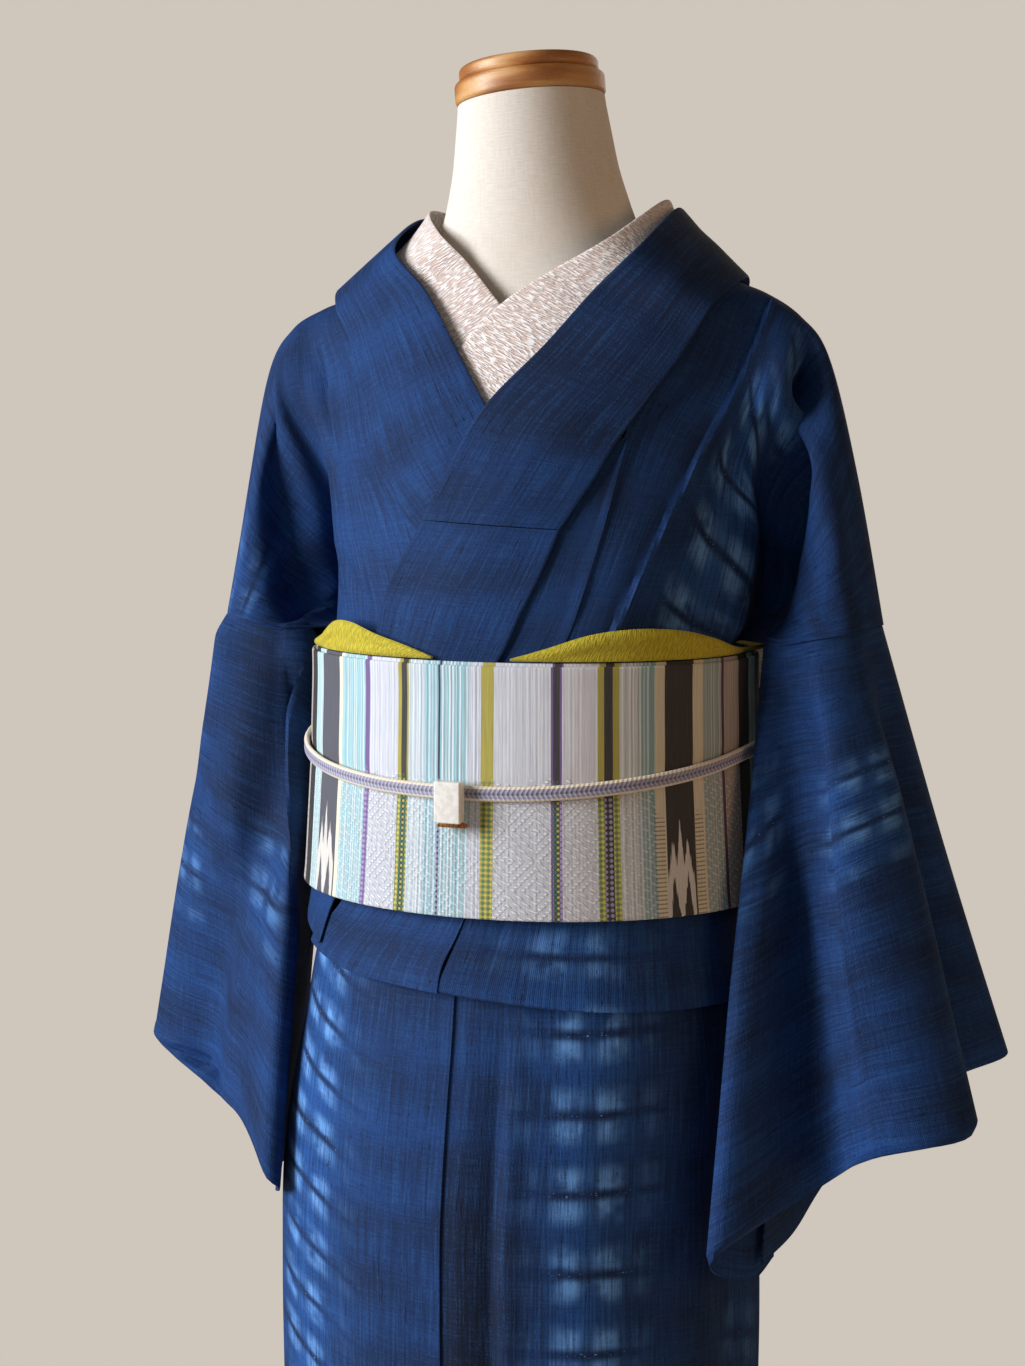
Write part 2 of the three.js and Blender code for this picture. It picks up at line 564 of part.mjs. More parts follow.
// ---- the skirt ----
const SKIRT_HEIGHTS = [HEM, 180, 330, 480, 620, 720, 800, 860, TUCK_BOTTOM, 936, OBI_BOTTOM, SKIRT_TOP];
const SKIRT_PANELS = [
  // name, angles at the waist and at the hem, how far out each edge lies, pieces round
  { name: "left_front_skirt", top: [-2, 92], hem: [0, 92], out: [OVER_SKIRT, OVER_SKIRT], pieces: 12 },
  { name: "left_okumi_skirt", top: [-63, -2.2], hem: [-60, -0.2], out: [OVER_SKIRT, OVER_SKIRT], pieces: 8 },
  { name: "right_front_skirt", top: [-92, 25], hem: [-92, 27], out: [UNDER_SKIRT, UNDER_SKIRT], pieces: 14 },
  { name: "right_okumi_skirt", top: [25.2, 78], hem: [27.2, 80], out: [UNDER_SKIRT, UNDER_SKIRT], pieces: 7 },
  { name: "left_back_skirt", top: [92.2, 179.9], hem: [92.2, 179.9], out: [OVER_SKIRT, UNDER_SKIRT + 1], pieces: 11 },
  { name: "right_back_skirt", top: [-179.9, -92.2], hem: [-179.9, -92.2], out: [UNDER_SKIRT + 1, UNDER_SKIRT], pieces: 11 },
];

function skirtPanel({ name, top, hem, out, pieces }) {
  const rows = SKIRT_HEIGHTS.map((z) => {
    const down = (SKIRT_TOP - z) / (SKIRT_TOP - HEM);
    const angle = (n) => top[n] + (hem[n] - top[n]) * down;
    return { z, from: angle(0), to: angle(1), outFrom: out[0], outTo: out[1] };
  });
  return wall(name, round(rows, pieces, onSkirt), CLOTH, indigoSilk);
}

// ---- the sash, its knot at the back, its cord and its scarf ----
const AROUND = 48;
const WAIST = 1046;
const WRAP_STEP = { top: 2, bottom: 4 }; // the inner wrap stands higher at both edges
function ring(heights, out) {
  return heights.map((z) => Array.from({ length: AROUND }, (_, j) => on((j * 360) / AROUND, z, out)));
}

// The drum at the back: a loop of sash cloth, seen from the side as depth and height.
const DRUM_HALF_WIDTH = 148;
const DRUM_BOW = 3; // its sides lie this much nearer to the body than its middle
const DRUM_LOOP = [
  [131, 1100], [134, 1140], [150, 1168], [176, 1164], [196, 1130], [206, 1060], [204, 990], [190, 952],
  [168, 948], [157, 970], [154.4, 1030],
];
const TAIL = [[152, 1034], [152, 960], [154, 920], [156, 878]];

function acrossBack(name, profile, halfWidth, steps) {
  const widths = Array.from({ length: 7 }, (_, j) => -1 + j / 3);
  const line = curve(profile.map(([y, z]) => [0, y, z]), steps);
  const bowed = (y, share) => y - DRUM_BOW * share * share;
  const grid = line.map(([, y, z]) => widths.map((share) => [share * halfWidth, bowed(y, share), z]));
  return wall(name, grid, OBI, sashCloth);
}

// The scarf stands on the sash's upper edge as two lobes and passes through the top of the drum.
// Each row: its place, as an angle on the body or a point in plan, its lower edge and its height.
const SCARF = [
  { at: -7, low: 1125, tall: 1.5 }, { at: -14, low: 1125, tall: 7 }, { at: -24, low: 1125, tall: 13 },
  { at: -34, low: 1125, tall: 19 }, { at: -43, low: 1125, tall: 18 }, { at: -52, low: 1125, tall: 9 },
  { at: -66, low: 1125, tall: 3 }, { at: -90, low: 1125, tall: 3 }, { x: -152, y: 66, low: 1125, tall: 3 },
  { x: -154, y: 112, low: 1128, tall: 6 }, { x: -150, y: 150, low: 1134, tall: 14 },
  { x: -100, y: 159, low: 1134, tall: 18 }, { x: 0, y: 160, low: 1134, tall: 18 },
  { x: 100, y: 159, low: 1134, tall: 18 }, { x: 150, y: 150, low: 1134, tall: 14 },
  { x: 154, y: 112, low: 1128, tall: 6 }, { x: 152, y: 66, low: 1125, tall: 3 }, { at: 92, low: 1125, tall: 3 },
  { at: 80, low: 1125, tall: 5 }, { at: 70, low: 1125, tall: 11 }, { at: 58, low: 1125, tall: 17 },
  { at: 45, low: 1125, tall: 19 }, { at: 33, low: 1125, tall: 16 }, { at: 22, low: 1125, tall: 8 },
  { at: 13, low: 1125, tall: 1.5 },
];
const SCARF_WALL = 3;
const SCARF_OUT = SASH_UNDER + 0.5;

function scarf() {
  const place = (row, z) => (row.at === undefined ? [row.x, row.y, z] : on(row.at, z, SCARF_OUT));
  const rows = [0, 0.5, 1].map((share) => SCARF.map((row) => place(row, row.low + share * row.tall)));
  return wall("obiage", loft(rows, 1, 2), SCARF_WALL, limeCrepe);
}

// The flat braid round the sash: it lies on the front and crosses the drum behind.
const BRAID = { wide: 9, thick: 3.6 };
const BRAID_LINE = [
  { at: 0, z: 1046 }, { at: 20, z: 1047 }, { at: 40, z: 1051 }, { at: 60, z: 1057 }, { at: 80, z: 1064 },
  { x: 155, y: 40, z: 1070 }, { x: 157, y: 100, z: 1074 }, { x: 158, y: 165, z: 1076 }, { x: 152, y: 203, z: 1077 },
  { x: 120, y: 212, z: 1077 }, { x: 60, y: 213, z: 1077 }, { x: 0, y: 213, z: 1077 },
];

function braidRing() {
  const out = SASH_OVER + OBI / 2 + 3 * SEAM + BRAID.thick / 2;
  const left = BRAID_LINE.map((row) => (row.at === undefined ? [row.x, row.y, row.z] : on(row.at, row.z, out)));
  const right = left.slice(1).map(([x, y, z]) => [-x, y, z]);
  const line = curve([...left.toReversed(), ...right], 3).slice(0, -1);
  const rows = [-0.5, 0.5].map((share) => line.map(([x, y, z]) => [x, y, z + share * BRAID.wide]));
  return wall("obijime", rows, BRAID.thick, braid, true);
}

// The ceramic block that sits on the braid, and the copper bar under it.
const BLOCK = { wide: 17, deep: 8, tall: 25, middle: 1041, bevel: 2 };
const BAR = { wide: 18, deep: 5, tall: 2.6, aside: 1.5, bevel: 0.5 };

function beveled(name, { wide, deep, tall }, bevel, material) {
  const shape = new THREE.Shape();
  shape.moveTo(-wide / 2, 0);
  shape.lineTo(wide / 2, 0);
  shape.lineTo(wide / 2, deep - bevel);
  shape.lineTo(wide / 2 - bevel, deep);
  shape.lineTo(-wide / 2 + bevel, deep);
  shape.lineTo(-wide / 2, deep - bevel);
  const geometry = new THREE.ExtrudeGeometry(shape, { depth: tall, bevelEnabled: false });
  geometry.rotateX(Math.PI);
  geometry.translate(0, 0, tall / 2);
  const mesh = new THREE.Mesh(geometry, material());
  mesh.name = name;
  return mesh;
}

function ornament() {
  const front = on(0, BLOCK.middle, SASH_OVER + OBI / 2 + BRAID.thick + 4 * SEAM)[1];
  const block = beveled("obidome", BLOCK, BLOCK.bevel, ceramic);
  block.position.set(0, front, BLOCK.middle);
  const bar = beveled("obidome_bar", BAR, BAR.bevel, copper);
  bar.position.set(BAR.aside, front, BLOCK.middle - (BLOCK.tall + BAR.tall) / 2 - SEAM);
  return [block, bar];
}

part.add(dressForm(), neckCap(), ...stand());
part.add(wall("left_body_panel", leftPanel, CLOTH, indigoSilk));
part.add(wall("right_body_panel", rightPanel, CLOTH, indigoSilk));
const okumiRows = OKUMI.map((row) => ({ ...row, outFrom: OKUMI_OUT, outTo: OKUMI_OUT }));
part.add(wall("left_okumi", round(okumiRows, OKUMI_PIECES), CLOTH, indigoSilk));
const upperCollar = strip([...COLLAR_BACK, ...LEFT_FRONT], LEFT_COLLAR);
part.add(wall("left_over_collar", loft(upperCollar, 2, 2), COLLAR, indigoSilk));
part.add(wall("left_collar", loft(strip(LEFT_LOWER, LEFT_COLLAR), 2, 2), COLLAR, indigoSilk));
const rightCollar = mirrorX(loft(strip([...COLLAR_BACK, ...RIGHT_FRONT], RIGHT_COLLAR), 2, 2));
part.add(wall("right_collar", rightCollar, COLLAR, indigoSilk));
const leftBand = loft(strip([...BAND_BACK, ...LEFT_BAND_FRONT], LEFT_BAND), 2, 2);
part.add(wall("left_inner_band", leftBand, CLOTH, paleCrepe));
const rightBand = mirrorX(loft(strip([...BAND_BACK, ...RIGHT_BAND_FRONT], RIGHT_BAND), 2, 2));
part.add(wall("right_inner_band", rightBand, CLOTH, paleCrepe));
part.add(sleeve("left_sleeve", LEFT_SLEEVE, leftPanel, 1));
part.add(sleeve("right_sleeve", RIGHT_SLEEVE, rightPanel, -1));
for (const panel of SKIRT_PANELS) part.add(skirtPanel(panel));
const innerWrap = ring([OBI_BOTTOM + WRAP_STEP.bottom, WAIST, OBI_TOP + WRAP_STEP.top], SASH_UNDER);
part.add(wall("obi_inner_wrap", innerWrap, OBI, sashCloth, true));
part.add(wall("obi_outer_wrap", ring([OBI_BOTTOM, WAIST, OBI_TOP], SASH_OVER), OBI, sashCloth, true));
part.add(acrossBack("obi_drum", DRUM_LOOP, DRUM_HALF_WIDTH, 2));
part.add(acrossBack("obi_tail", TAIL, DRUM_HALF_WIDTH - 2, 2));
part.add(scarf(), braidRing(), ...ornament());

export default part;
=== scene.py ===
# %% [markdown]
# # A tsumugi kimono on a dress form
# Tsumugi is silk spun by hand, which gives a matt, firm cloth full of slubs. This kimono is dyed with
# indigo and worn left front over right, tucked at the waist and tied with a striped sash, a crepe
# scarf and a flat braid. It hangs on a form without arms.
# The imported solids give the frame: metres, Z up, the front towards -Y, the wearer's left towards +X.
# A garment is cut in millimetres, so its shapes are worked out in millimetres here and turned into
# metres when a mesh is made.

# %%
import math
from functools import partialmethod

import bmesh
import bpy
import numpy as np
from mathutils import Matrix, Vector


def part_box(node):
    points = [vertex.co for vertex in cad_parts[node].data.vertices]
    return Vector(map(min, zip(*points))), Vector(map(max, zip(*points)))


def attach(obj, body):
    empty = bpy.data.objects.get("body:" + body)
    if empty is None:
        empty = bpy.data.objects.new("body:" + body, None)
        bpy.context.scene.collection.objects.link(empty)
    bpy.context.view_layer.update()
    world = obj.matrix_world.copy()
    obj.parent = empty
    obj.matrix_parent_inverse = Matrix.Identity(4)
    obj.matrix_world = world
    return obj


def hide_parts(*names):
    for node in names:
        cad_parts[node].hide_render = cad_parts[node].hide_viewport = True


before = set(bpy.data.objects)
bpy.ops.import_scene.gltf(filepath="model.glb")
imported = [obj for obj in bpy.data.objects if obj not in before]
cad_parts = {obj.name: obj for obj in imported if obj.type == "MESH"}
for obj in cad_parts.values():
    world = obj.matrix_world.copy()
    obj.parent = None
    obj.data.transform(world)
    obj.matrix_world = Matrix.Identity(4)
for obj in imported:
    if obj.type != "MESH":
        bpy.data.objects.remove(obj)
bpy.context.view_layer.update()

# %% [markdown]
# ## Camera
# A person who looks at a dressed form stands about an arm's length and a half away. The camera is
# 1.42 m off, 22 degrees round towards the wearer's left, at shoulder height, and looks slightly down.
# Its lens is set for the long side of the image, which is 1366 pixels.

# %%
LONG_SIDE, FOCAL_PIXELS, SENSOR = 1366, 2200, 36.0
AZIMUTH, DISTANCE, EYE = math.radians(22.0), 1.421, 1.250
PITCH, YAW = math.radians(6.05), math.atan(20.5 / FOCAL_PIXELS)
camera_data = bpy.data.cameras.new("camera")
camera_data.sensor_width = SENSOR
camera_data.lens = FOCAL_PIXELS / LONG_SIDE * SENSOR
camera = bpy.data.objects.new("camera", camera_data)
camera.location = (DISTANCE * math.sin(AZIMUTH), -DISTANCE * math.cos(AZIMUTH), EYE)
camera.rotation_euler = (math.pi / 2 - PITCH, 0.0, AZIMUTH + YAW)
bpy.context.scene.collection.objects.link(camera)
bpy.context.scene.camera = camera
bpy.context.scene.view_settings.view_transform = "Standard"
print("lens", round(camera_data.lens, 1), "mm")

# %% [markdown]
# ## Layers round the body
# A kimono is dressed from the inside out, so each layer has its own distance from the body: the
# crepe band at the neck, the right panel, the left panel over it, the collar, then the two wraps of
# the sash. `CLOTH`, `COLLAR` and `OBI` are the thicknesses of their walls and `SEAM` is the room
# between two sewn pieces. The other names in the first three rows say how far out the middle of a
# layer lies. The last row has heights above the floor, all in millimetres.

# %%
CLOTH, COLLAR, OBI, SEAM = 1.2, 1.9, 1.9, 0.3
UNDER_SKIRT, OVER_SKIRT, RIGHT_PANEL, RIGHT_COLLAR = 0.75, 3.25, 5.75, 8.5
LEFT_PANEL, LEFT_COLLAR, SASH_UNDER, SASH_OVER = 11.85, 14.6, 17.2, 20.2
RIGHT_BAND, LEFT_BAND = 1.4, 3.6
OBI_TOP, OBI_BOTTOM, SKIRT_TOP, HEM, TUCK = 1122.0, 970.0, 1046.0, 35.0, 917.0
print("tuck to hem", TUCK - HEM, "mm, sash", OBI_TOP - OBI_BOTTOM, "mm tall")

# %% [markdown]
# ## The body under the cloth
# The padding and the undergarment turn a body into an even column, which is the shape a kimono is cut
# for. The table gives that column, and `softened` rounds off the corners between its rows, as padding
# does. `skin` then finds any point on it from an angle and a height, so a layer of cloth is just the
# skin moved outwards.

# %%
# columns: height, half width, half depth, middle of the depth
BODY = np.array([
    (35, 148, 115, 4), (250, 152, 118, 2), (450, 156, 121, 0), (690, 158, 123, 0), (776, 157, 122, 0),
    (860, 153, 119, 0), (916, 146, 115, 0), (970, 133, 107, 0), (1046, 128, 103, 0), (1112, 126, 101, 0),
    (1160, 128, 104, 0), (1210, 131, 102, 4), (1260, 137, 93, 10), (1300, 147, 80, 14),
    (1340, 155, 66, 14), (1375, 120, 61, 14), (1400, 90, 58, 12),
], float)


def smoothstep(x, low, high):
    t = np.clip((np.asarray(x, float) - low) / (high - low), 0, 1)
    return t * t * (3 - 2 * t)


def softened(table, reach=9.0):
    """The table at every millimetre of height, with the corners between its rows rounded off."""
    z = np.arange(table[0, 0] - 60, table[-1, 0] + 60)
    kernel = np.exp(-0.5 * (np.arange(-30, 31) / reach) ** 2)
    kernel /= kernel.sum()
    columns = []
    for n in (1, 2, 3):
        line = np.interp(z, table[:, 0], table[:, n])
        columns.append(np.convolve(np.pad(line, 30, mode="edge"), kernel, mode="valid"))
    return z, columns


BODY_Z, BODY_COLUMNS = softened(BODY)


def body_at(z):
    return [np.interp(z, BODY_Z, column) for column in BODY_COLUMNS]


def skin(angle, z, out=0.0):
    """Points at angles in degrees, 0 at the front and + to the wearer's left, this far off the skin."""
    wide, deep, back = body_at(z)
    turn = np.radians(angle)
    x = (wide + out) * np.sin(turn)
    y = back - (deep + out) * np.cos(turn)
    return np.stack(np.broadcast_arrays(x, y, np.asarray(z, float)), -1)


print("waist", [round(float(size)) for size in body_at(SKIRT_TOP)], "half width, half depth, middle")

# %% [markdown]
# ## Smooth lines and surfaces
# Cloth under tension runs in smooth curves between the places that hold it. `curve` draws such a
# line through a few points, and through rows of points it draws a surface.

# %%
def curve(points, steps):
    """A smooth curve through points, with so many steps for each span."""
    p = np.asarray(points, float)
    last = len(p) - 1
    made = []
    for i in range(last):
        count = steps[i] if hasattr(steps, "__len__") else steps
        t = (np.arange(count) / count).reshape([-1] + [1] * (p.ndim - 1))
        p0, p1, p2, p3 = (p[min(max(k, 0), last)] for k in (i - 1, i, i + 1, i + 2))
        bend, twist = 2 * p0 - 5 * p1 + 4 * p2 - p3, 3 * p1 - p0 - 3 * p2 + p3
        made.append(0.5 * (2 * p1 + (p2 - p0) * t + bend * t**2 + twist * t**3))
    made.append(p[-1:])
    return np.concatenate(made)


def loft(rows, along, across):
    """A grid through rows of points: rows down, columns across."""
    fine = np.stack([curve(row, across) for row in rows])
    return curve(fine, along)


def mirrored(grid):
    return grid * np.array([-1.0, 1.0, 1.0])


print("a curve through 3 points has", len(curve([(0, 0), (1, 1), (2, 0)], 8)), "points")

# %% [markdown]
# ## Measuring the cloth
# A tailor marks creases and patterns on the cloth itself, not in the room. `lengths` measures how far
# along the cloth each row and column of a surface lies, and `normals` tells which way it faces.

# %%
def normals(grid, ring=False):
    across = np.roll(grid, -1, 1) - np.roll(grid, 1, 1) if ring else np.gradient(grid, axis=1)
    along = np.gradient(grid, axis=0)
    n = np.cross(across, along)
    return n / np.maximum(np.linalg.norm(n, axis=2, keepdims=True), 1e-9)


def lengths(grid):
    """How far along the cloth each column and each row lies, in millimetres."""
    u = np.linalg.norm(np.diff(grid, axis=1), axis=2).mean(0)
    v = np.linalg.norm(np.diff(grid, axis=0), axis=2).mean(1)
    return np.concatenate([[0], np.cumsum(u)]), np.concatenate([[0], np.cumsum(v)])


# %% [markdown]
# ## Creases
# A rigid wall has no weight that pulls it into folds, so every main crease is given: a line
# on the cloth, a depth and a width. Soft ones swell like a bell on both sides of the line. A pleat's
# edge is sharp on one side, where the upper layer ends.

# %%
def creased(grid, creases, outside):
    """The grid with its creases, each a line of cloth coordinates u, v in millimetres.

    Kind 0 is a soft ridge or valley. Kind 1 or -1 is the edge of a pleat that lies on top on the side
    of the larger or the smaller u."""
    u, v = lengths(grid)
    here = np.stack(np.meshgrid(u, v), -1)
    lift = np.zeros(here.shape[:2])
    for depth, width, kind, fade, end, points in creases:
        line = curve(np.array(points, float), 6)
        best, side, share = np.full(lift.shape, 1e9), np.zeros(lift.shape), np.zeros(lift.shape)
        for k, (a, b) in enumerate(zip(line[:-1], line[1:])):
            t = np.clip((here - a) @ (b - a) / ((b - a) @ (b - a)), 0, 1)
            gap = here - a - t[..., None] * (b - a)
            distance = np.hypot(gap[..., 0], gap[..., 1])
            near = distance < best
            turn = (b - a)[0] * gap[..., 1] - (b - a)[1] * gap[..., 0]
            best, side = np.where(near, distance, best), np.where(near, np.sign(turn), side)
            share = np.where(near, (k + t) / (len(line) - 1), share)
        ends = smoothstep(share, -0.001, fade) * smoothstep(1 - share, -0.001, end)
        form = np.exp(-((best / width) ** 2))
        if kind:
            s = best * side * kind
            form = np.exp(-np.clip(s, 0, None) / width) * smoothstep(s, -1.6, 1.6)
        lift += depth * form * ends
    return grid + normals(grid) * (lift * outside)[..., None]


# %% [markdown]
# ## From a surface to a piece
# Each piece stands for one solid of the imported model and gets its material.
# `mesh_object` turns millimetres into metres and keeps the cloth's own coordinates as a UV map, which
# the dye and weave patterns are drawn in.

# %%
PIECES = {}
FOLD_ANGLE = 50  # degrees from which an edge counts as sharp


def finish_piece(obj, node_name, slot, material):
    obj.data.materials.append(material)
    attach(obj, "root")
    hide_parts(node_name)
    PIECES[obj.name] = obj
    print(obj.name, "stands for", node_name, "with", len(obj.data.polygons), "faces")
    return obj


def mesh_object(name, points, faces, uvs, sharp=FOLD_ANGLE):
    mesh = bpy.data.meshes.new(name)
    mesh.from_pydata((np.asarray(points) * 0.001).tolist(), [], faces)
    mesh.validate()
    layer = mesh.uv_layers.new(name="cloth")
    index = np.empty(len(mesh.loops), int)
    mesh.loops.foreach_get("vertex_index", index)
    layer.data.foreach_set("uv", np.asarray(uvs, float)[index].ravel())
    mesh.polygons.foreach_set("use_smooth", [True] * len(mesh.polygons))
    mesh.set_sharp_from_angle(angle=math.radians(sharp))
    obj = bpy.data.objects.new(name, mesh)
    bpy.context.scene.collection.objects.link(obj)
    return obj


# %% [markdown]
# ## A wall of cloth
# Cloth that only hangs is a thin wall with a face on each side and closed edges. `shell` moves the
# surface half a thickness to both sides and closes the rim. A sash or a braid that goes all the way
# round is a ring, without side edges.

# %%
def shell(name, grid, thickness, node_name, slot, material, ring=False, uv=None):
    rows, columns = grid.shape[:2]
    half = normals(grid, ring) * thickness / 2
    points = np.concatenate([(grid + half).reshape(-1, 3), (grid - half).reshape(-1, 3)])
    if uv is None:
        u, v = lengths(grid)
        uv = np.stack(np.meshgrid(u, v), -1)
    uvs = np.concatenate([uv.reshape(-1, 2)] * 2) * 0.001
    back = rows * columns
    spans = columns if ring else columns - 1
    i, j = np.meshgrid(np.arange(rows - 1), np.arange(spans), indexing="ij")
    k = (j + 1) % columns
    a, b, c, d = i * columns + j, i * columns + k, (i + 1) * columns + k, (i + 1) * columns + j
    front = np.stack([a, b, c, d], -1).reshape(-1, 4)
    faces = [front[:, ::-1], front + back]
    j = np.arange(spans)
    k = (j + 1) % columns
    low, high = np.zeros(1, int), np.full(1, (rows - 1) * columns)
    faces.append(np.stack([low + j, low + k, low + k + back, low + j + back], -1))
    faces.append(np.stack([high + k, high + j, high + j + back, high + k + back], -1))
    if not ring:
        i = np.arange(rows - 1)
        for edge, turn in ((0, 1), (columns - 1, -1)):
            p, q = i * columns + edge, (i + 1) * columns + edge
            faces.append(np.stack([q, p, p + back, q + back], -1)[:, ::turn])
    obj = mesh_object(name, points, np.concatenate(faces).tolist(), uvs)
    flip = bmesh.new()
    flip.from_mesh(obj.data)
    bmesh.ops.recalc_face_normals(flip, faces=flip.faces)
    flip.to_mesh(obj.data)
    flip.free()
    return finish_piece(obj, node_name, slot, material)


# %% [markdown]
# ## Adding nodes
# A dyer's swatch is matched on a screen, so colours are written as on a screen, and `linear`
# turns them into amounts of light. `add` puts one node in a material with its settings and links.

# %%
def linear(code):
    parts = [int(code[n : n + 2], 16) / 255 for n in (1, 3, 5)]
    light = (c / 12.92 if c <= 0.04045 else ((c + 0.055) / 1.055) ** 2.4 for c in parts)
    return (*light, 1.0)


def fill(tree, made, inputs):
    """Link or set inputs, named by their label with _ for a space, or by i and their number."""
    for key, value in inputs.items():
        by_number = key[0] == "i" and key[1:].isdigit()
        socket = made.inputs[int(key[1:]) if by_number else key.replace("_", " ")]
        if isinstance(value, tuple) and any(isinstance(part, Value) for part in value):
            value = add(tree, "CombineXYZ", X=value[0], Y=value[1], Z=value[2])
        if isinstance(value, Value):
            tree.links.new(value.socket, socket)
        else:
            socket.default_value = value


def add(tree, kind, settings=None, out=0, stops=None, **inputs):
    """Add a node with its settings, a ramp's stops and its inputs, and give one of its outputs."""
    made = tree.nodes.new("ShaderNode" + kind)
    for key, value in (settings or {}).items():
        setattr(made, key, value)
    if stops:
        made.color_ramp.interpolation, (first, *between, last) = stops
        for element, (position, color) in zip(made.color_ramp.elements, (first, last)):
            element.position, element.color = position, color
        for position, color in between:
            made.color_ramp.elements.new(position).color = color
    fill(tree, made, inputs)
    return Value(tree, made.outputs[out]) if made.outputs else None


print("indigo as light", [round(part, 3) for part in linear("#10305e")])

# %% [markdown]
# ## Patterns as arithmetic
# Threads, stripes and dye marks repeat at lengths that can be counted on the cloth. A `Value` is a
# number that differs over the surface, so a pattern can be written as a formula of those lengths.

# %%
class Value:
    """A number or colour that differs over the surface. Its arithmetic adds Math nodes."""

    def __init__(self, tree, socket):
        self.tree, self.socket = tree, socket

    def math(self, operation, other=0.0, clamp=False):
        settings = {"operation": operation, "use_clamp": clamp}
        return add(self.tree, "Math", settings, i0=self, i1=other)

    __add__ = partialmethod(math, "ADD")
    __sub__ = partialmethod(math, "SUBTRACT")
    __mul__ = partialmethod(math, "MULTIPLY")
    __truediv__ = partialmethod(math, "DIVIDE")

    def __rsub__(self, other):
        return (self * -1.0) + other

    def waves(self, length):
        """A sine that repeats at this length."""
        return (self * (2 * math.pi / length)).math("SINE")

    def saw(self, length):
        """Half a length at the ends of each repeat and 0 in its middle, as a share of the length."""
        return ((self / length).math("FRACT") - 0.5).math("ABSOLUTE")

    def bell(self, middle, width):
        """1 at the middle, and less the further off."""
        return (((self - middle) / width).math("POWER", 2.0) * -1.0).math("EXPONENT")

    def step(self, low, high):
        """0 up to low and 1 from high on, with a soft change between. Low may be above high."""
        up = float(low <= high)
        return add(self.tree, "MapRange", {"interpolation_type": "SMOOTHSTEP"}, i0=self,
                   i1=min(low, high), i2=max(low, high), i3=1.0 - up, i4=up)

    def clip(self):
        return self.math("ADD", 0.0, clamp=True)


# %% [markdown]
# ## A length of cloth
# Every finish starts the same way: a shader, and the cloth's coordinates u across and v along, in
# millimetres. `coats` lays colours over each other as baths of dye do, each by its share. Silk, linen,
# glaze and varnish all bend light about one and a half times as much as air, and none but the bar and
# the stand is a metal.

# %%
SILK_IOR = 1.5
SHEEN_SPREAD = 0.4


class Cloth:
    """A new material, with its shader and the cloth's own coordinates."""

    def __init__(self, name):
        self.material = bpy.data.materials.new(name)
        self.material.use_nodes = True
        self.tree = self.material.node_tree
        self.tree.nodes.clear()
        self.shader = self.add("BsdfPrincipled")
        self.add("OutputMaterial", Surface=self.shader)
        split = self.add("SeparateXYZ", Vector=self.add("UVMap", {"uv_map": "cloth"}))
        self.u, self.v = (Value(self.tree, split.socket.node.outputs[n]) * 1000.0 for n in (0, 1))
        self.place = self.add("TexCoord", out="Object")

    def add(self, kind, settings=None, out=0, **inputs):
        return add(self.tree, kind, settings, out, **inputs)

    def coats(self, color, *coats):
        for share, shade in coats:
            shade = linear(shade) if isinstance(shade, str) else shade
            color = self.add("Mix", {"data_type": "RGBA"}, 2, i0=share, i6=color, i7=shade)
        return color

    def finish(self, color, roughness, height=None, depth=0.0, sheen=0.0, **inputs):
        """Colour, roughness and the relief, whose depth is in millimetres."""
        if height is not None:
            inputs["Normal"] = self.add("Bump", Strength=1.0, Distance=depth * 0.001, Height=height)
        inputs.update(Base_Color=color, Roughness=roughness, IOR=SILK_IOR)
        inputs.update(Sheen_Weight=sheen, Sheen_Roughness=SHEEN_SPREAD)
        fill(self.tree, self.shader.socket.node, inputs)
        print("finish", self.material.name, "with", len(self.tree.nodes), "nodes")
        return self.material


# %% [markdown]
# ## Columns that were tied off
# Before the cloth goes into the indigo, the dyer pinches it along lines and binds it. The bath can't
# reach what is bound, so pale blotches stay between darker lines, one over the other in a column,
# with a bright speck where the thread bit. Each column has its middle and its width across the cloth,
# the distance of its tied lines, their slant, its strength, its start and end along the cloth, and
# the width of one pinch.

# %%
HAZE, BLOTCH, TIED_LINE, SPECK = "#2c68b8", "#6fa6e6", "#091634", "#d6e4f2"
BLUR = 14.0  # how softly a column starts and ends


def tied_column(c, color, streak, column):
    middle, width, pitch, slant, strength, start, end, pinch = column
    wander = (c.add("TexNoise", Vector=(c.u / 45.0, c.v / 60.0, middle * 0.1), Scale=1.0) - 0.5) * 12.0
    across, along = c.u + wander, c.v + c.u * slant + wander * 0.5
    area = (across.bell(middle, width) * c.v.step(start - BLUR, start + BLUR)
            * c.v.step(end + BLUR, end - BLUR))
    gap = along.saw(pitch)  # 0.5 on a tied line, 0 between
    lobes = gap.step(0.49, 0.38) * gap.step(0.06, 0.30)
    pinched = ((across - middle) * (math.pi / pinch)).math("SINE").math("ABSOLUTE")
    lumps = c.add("TexNoise", Vector=(c.u / (width * 0.7), along / (pitch * 0.42), middle), Scale=1.0)
    pale = lobes * area * (pinched.step(0.25, 0.95) * 0.85 + 0.15) * lumps.step(0.28, 0.62) * strength
    haze = area * gap.step(0.50, 0.30) * 0.42 * strength
    tied = gap.step(0.40, 0.495) * area.step(0.15, 0.65) * lumps.step(0.2, 0.6) * 0.45 * strength
    bites = c.add("TexNoise", Vector=(c.u / 1.5, c.v, middle * 0.3), Scale=1.0, Detail=1.0)
    speck = bites.step(0.71, 0.74) * gap.step(0.465, 0.49) * area * strength
    return c.coats(color, (haze * streak, HAZE), (pale * 1.15 * streak, BLOTCH), (tied, TIED_LINE),
                   (speck, SPECK))
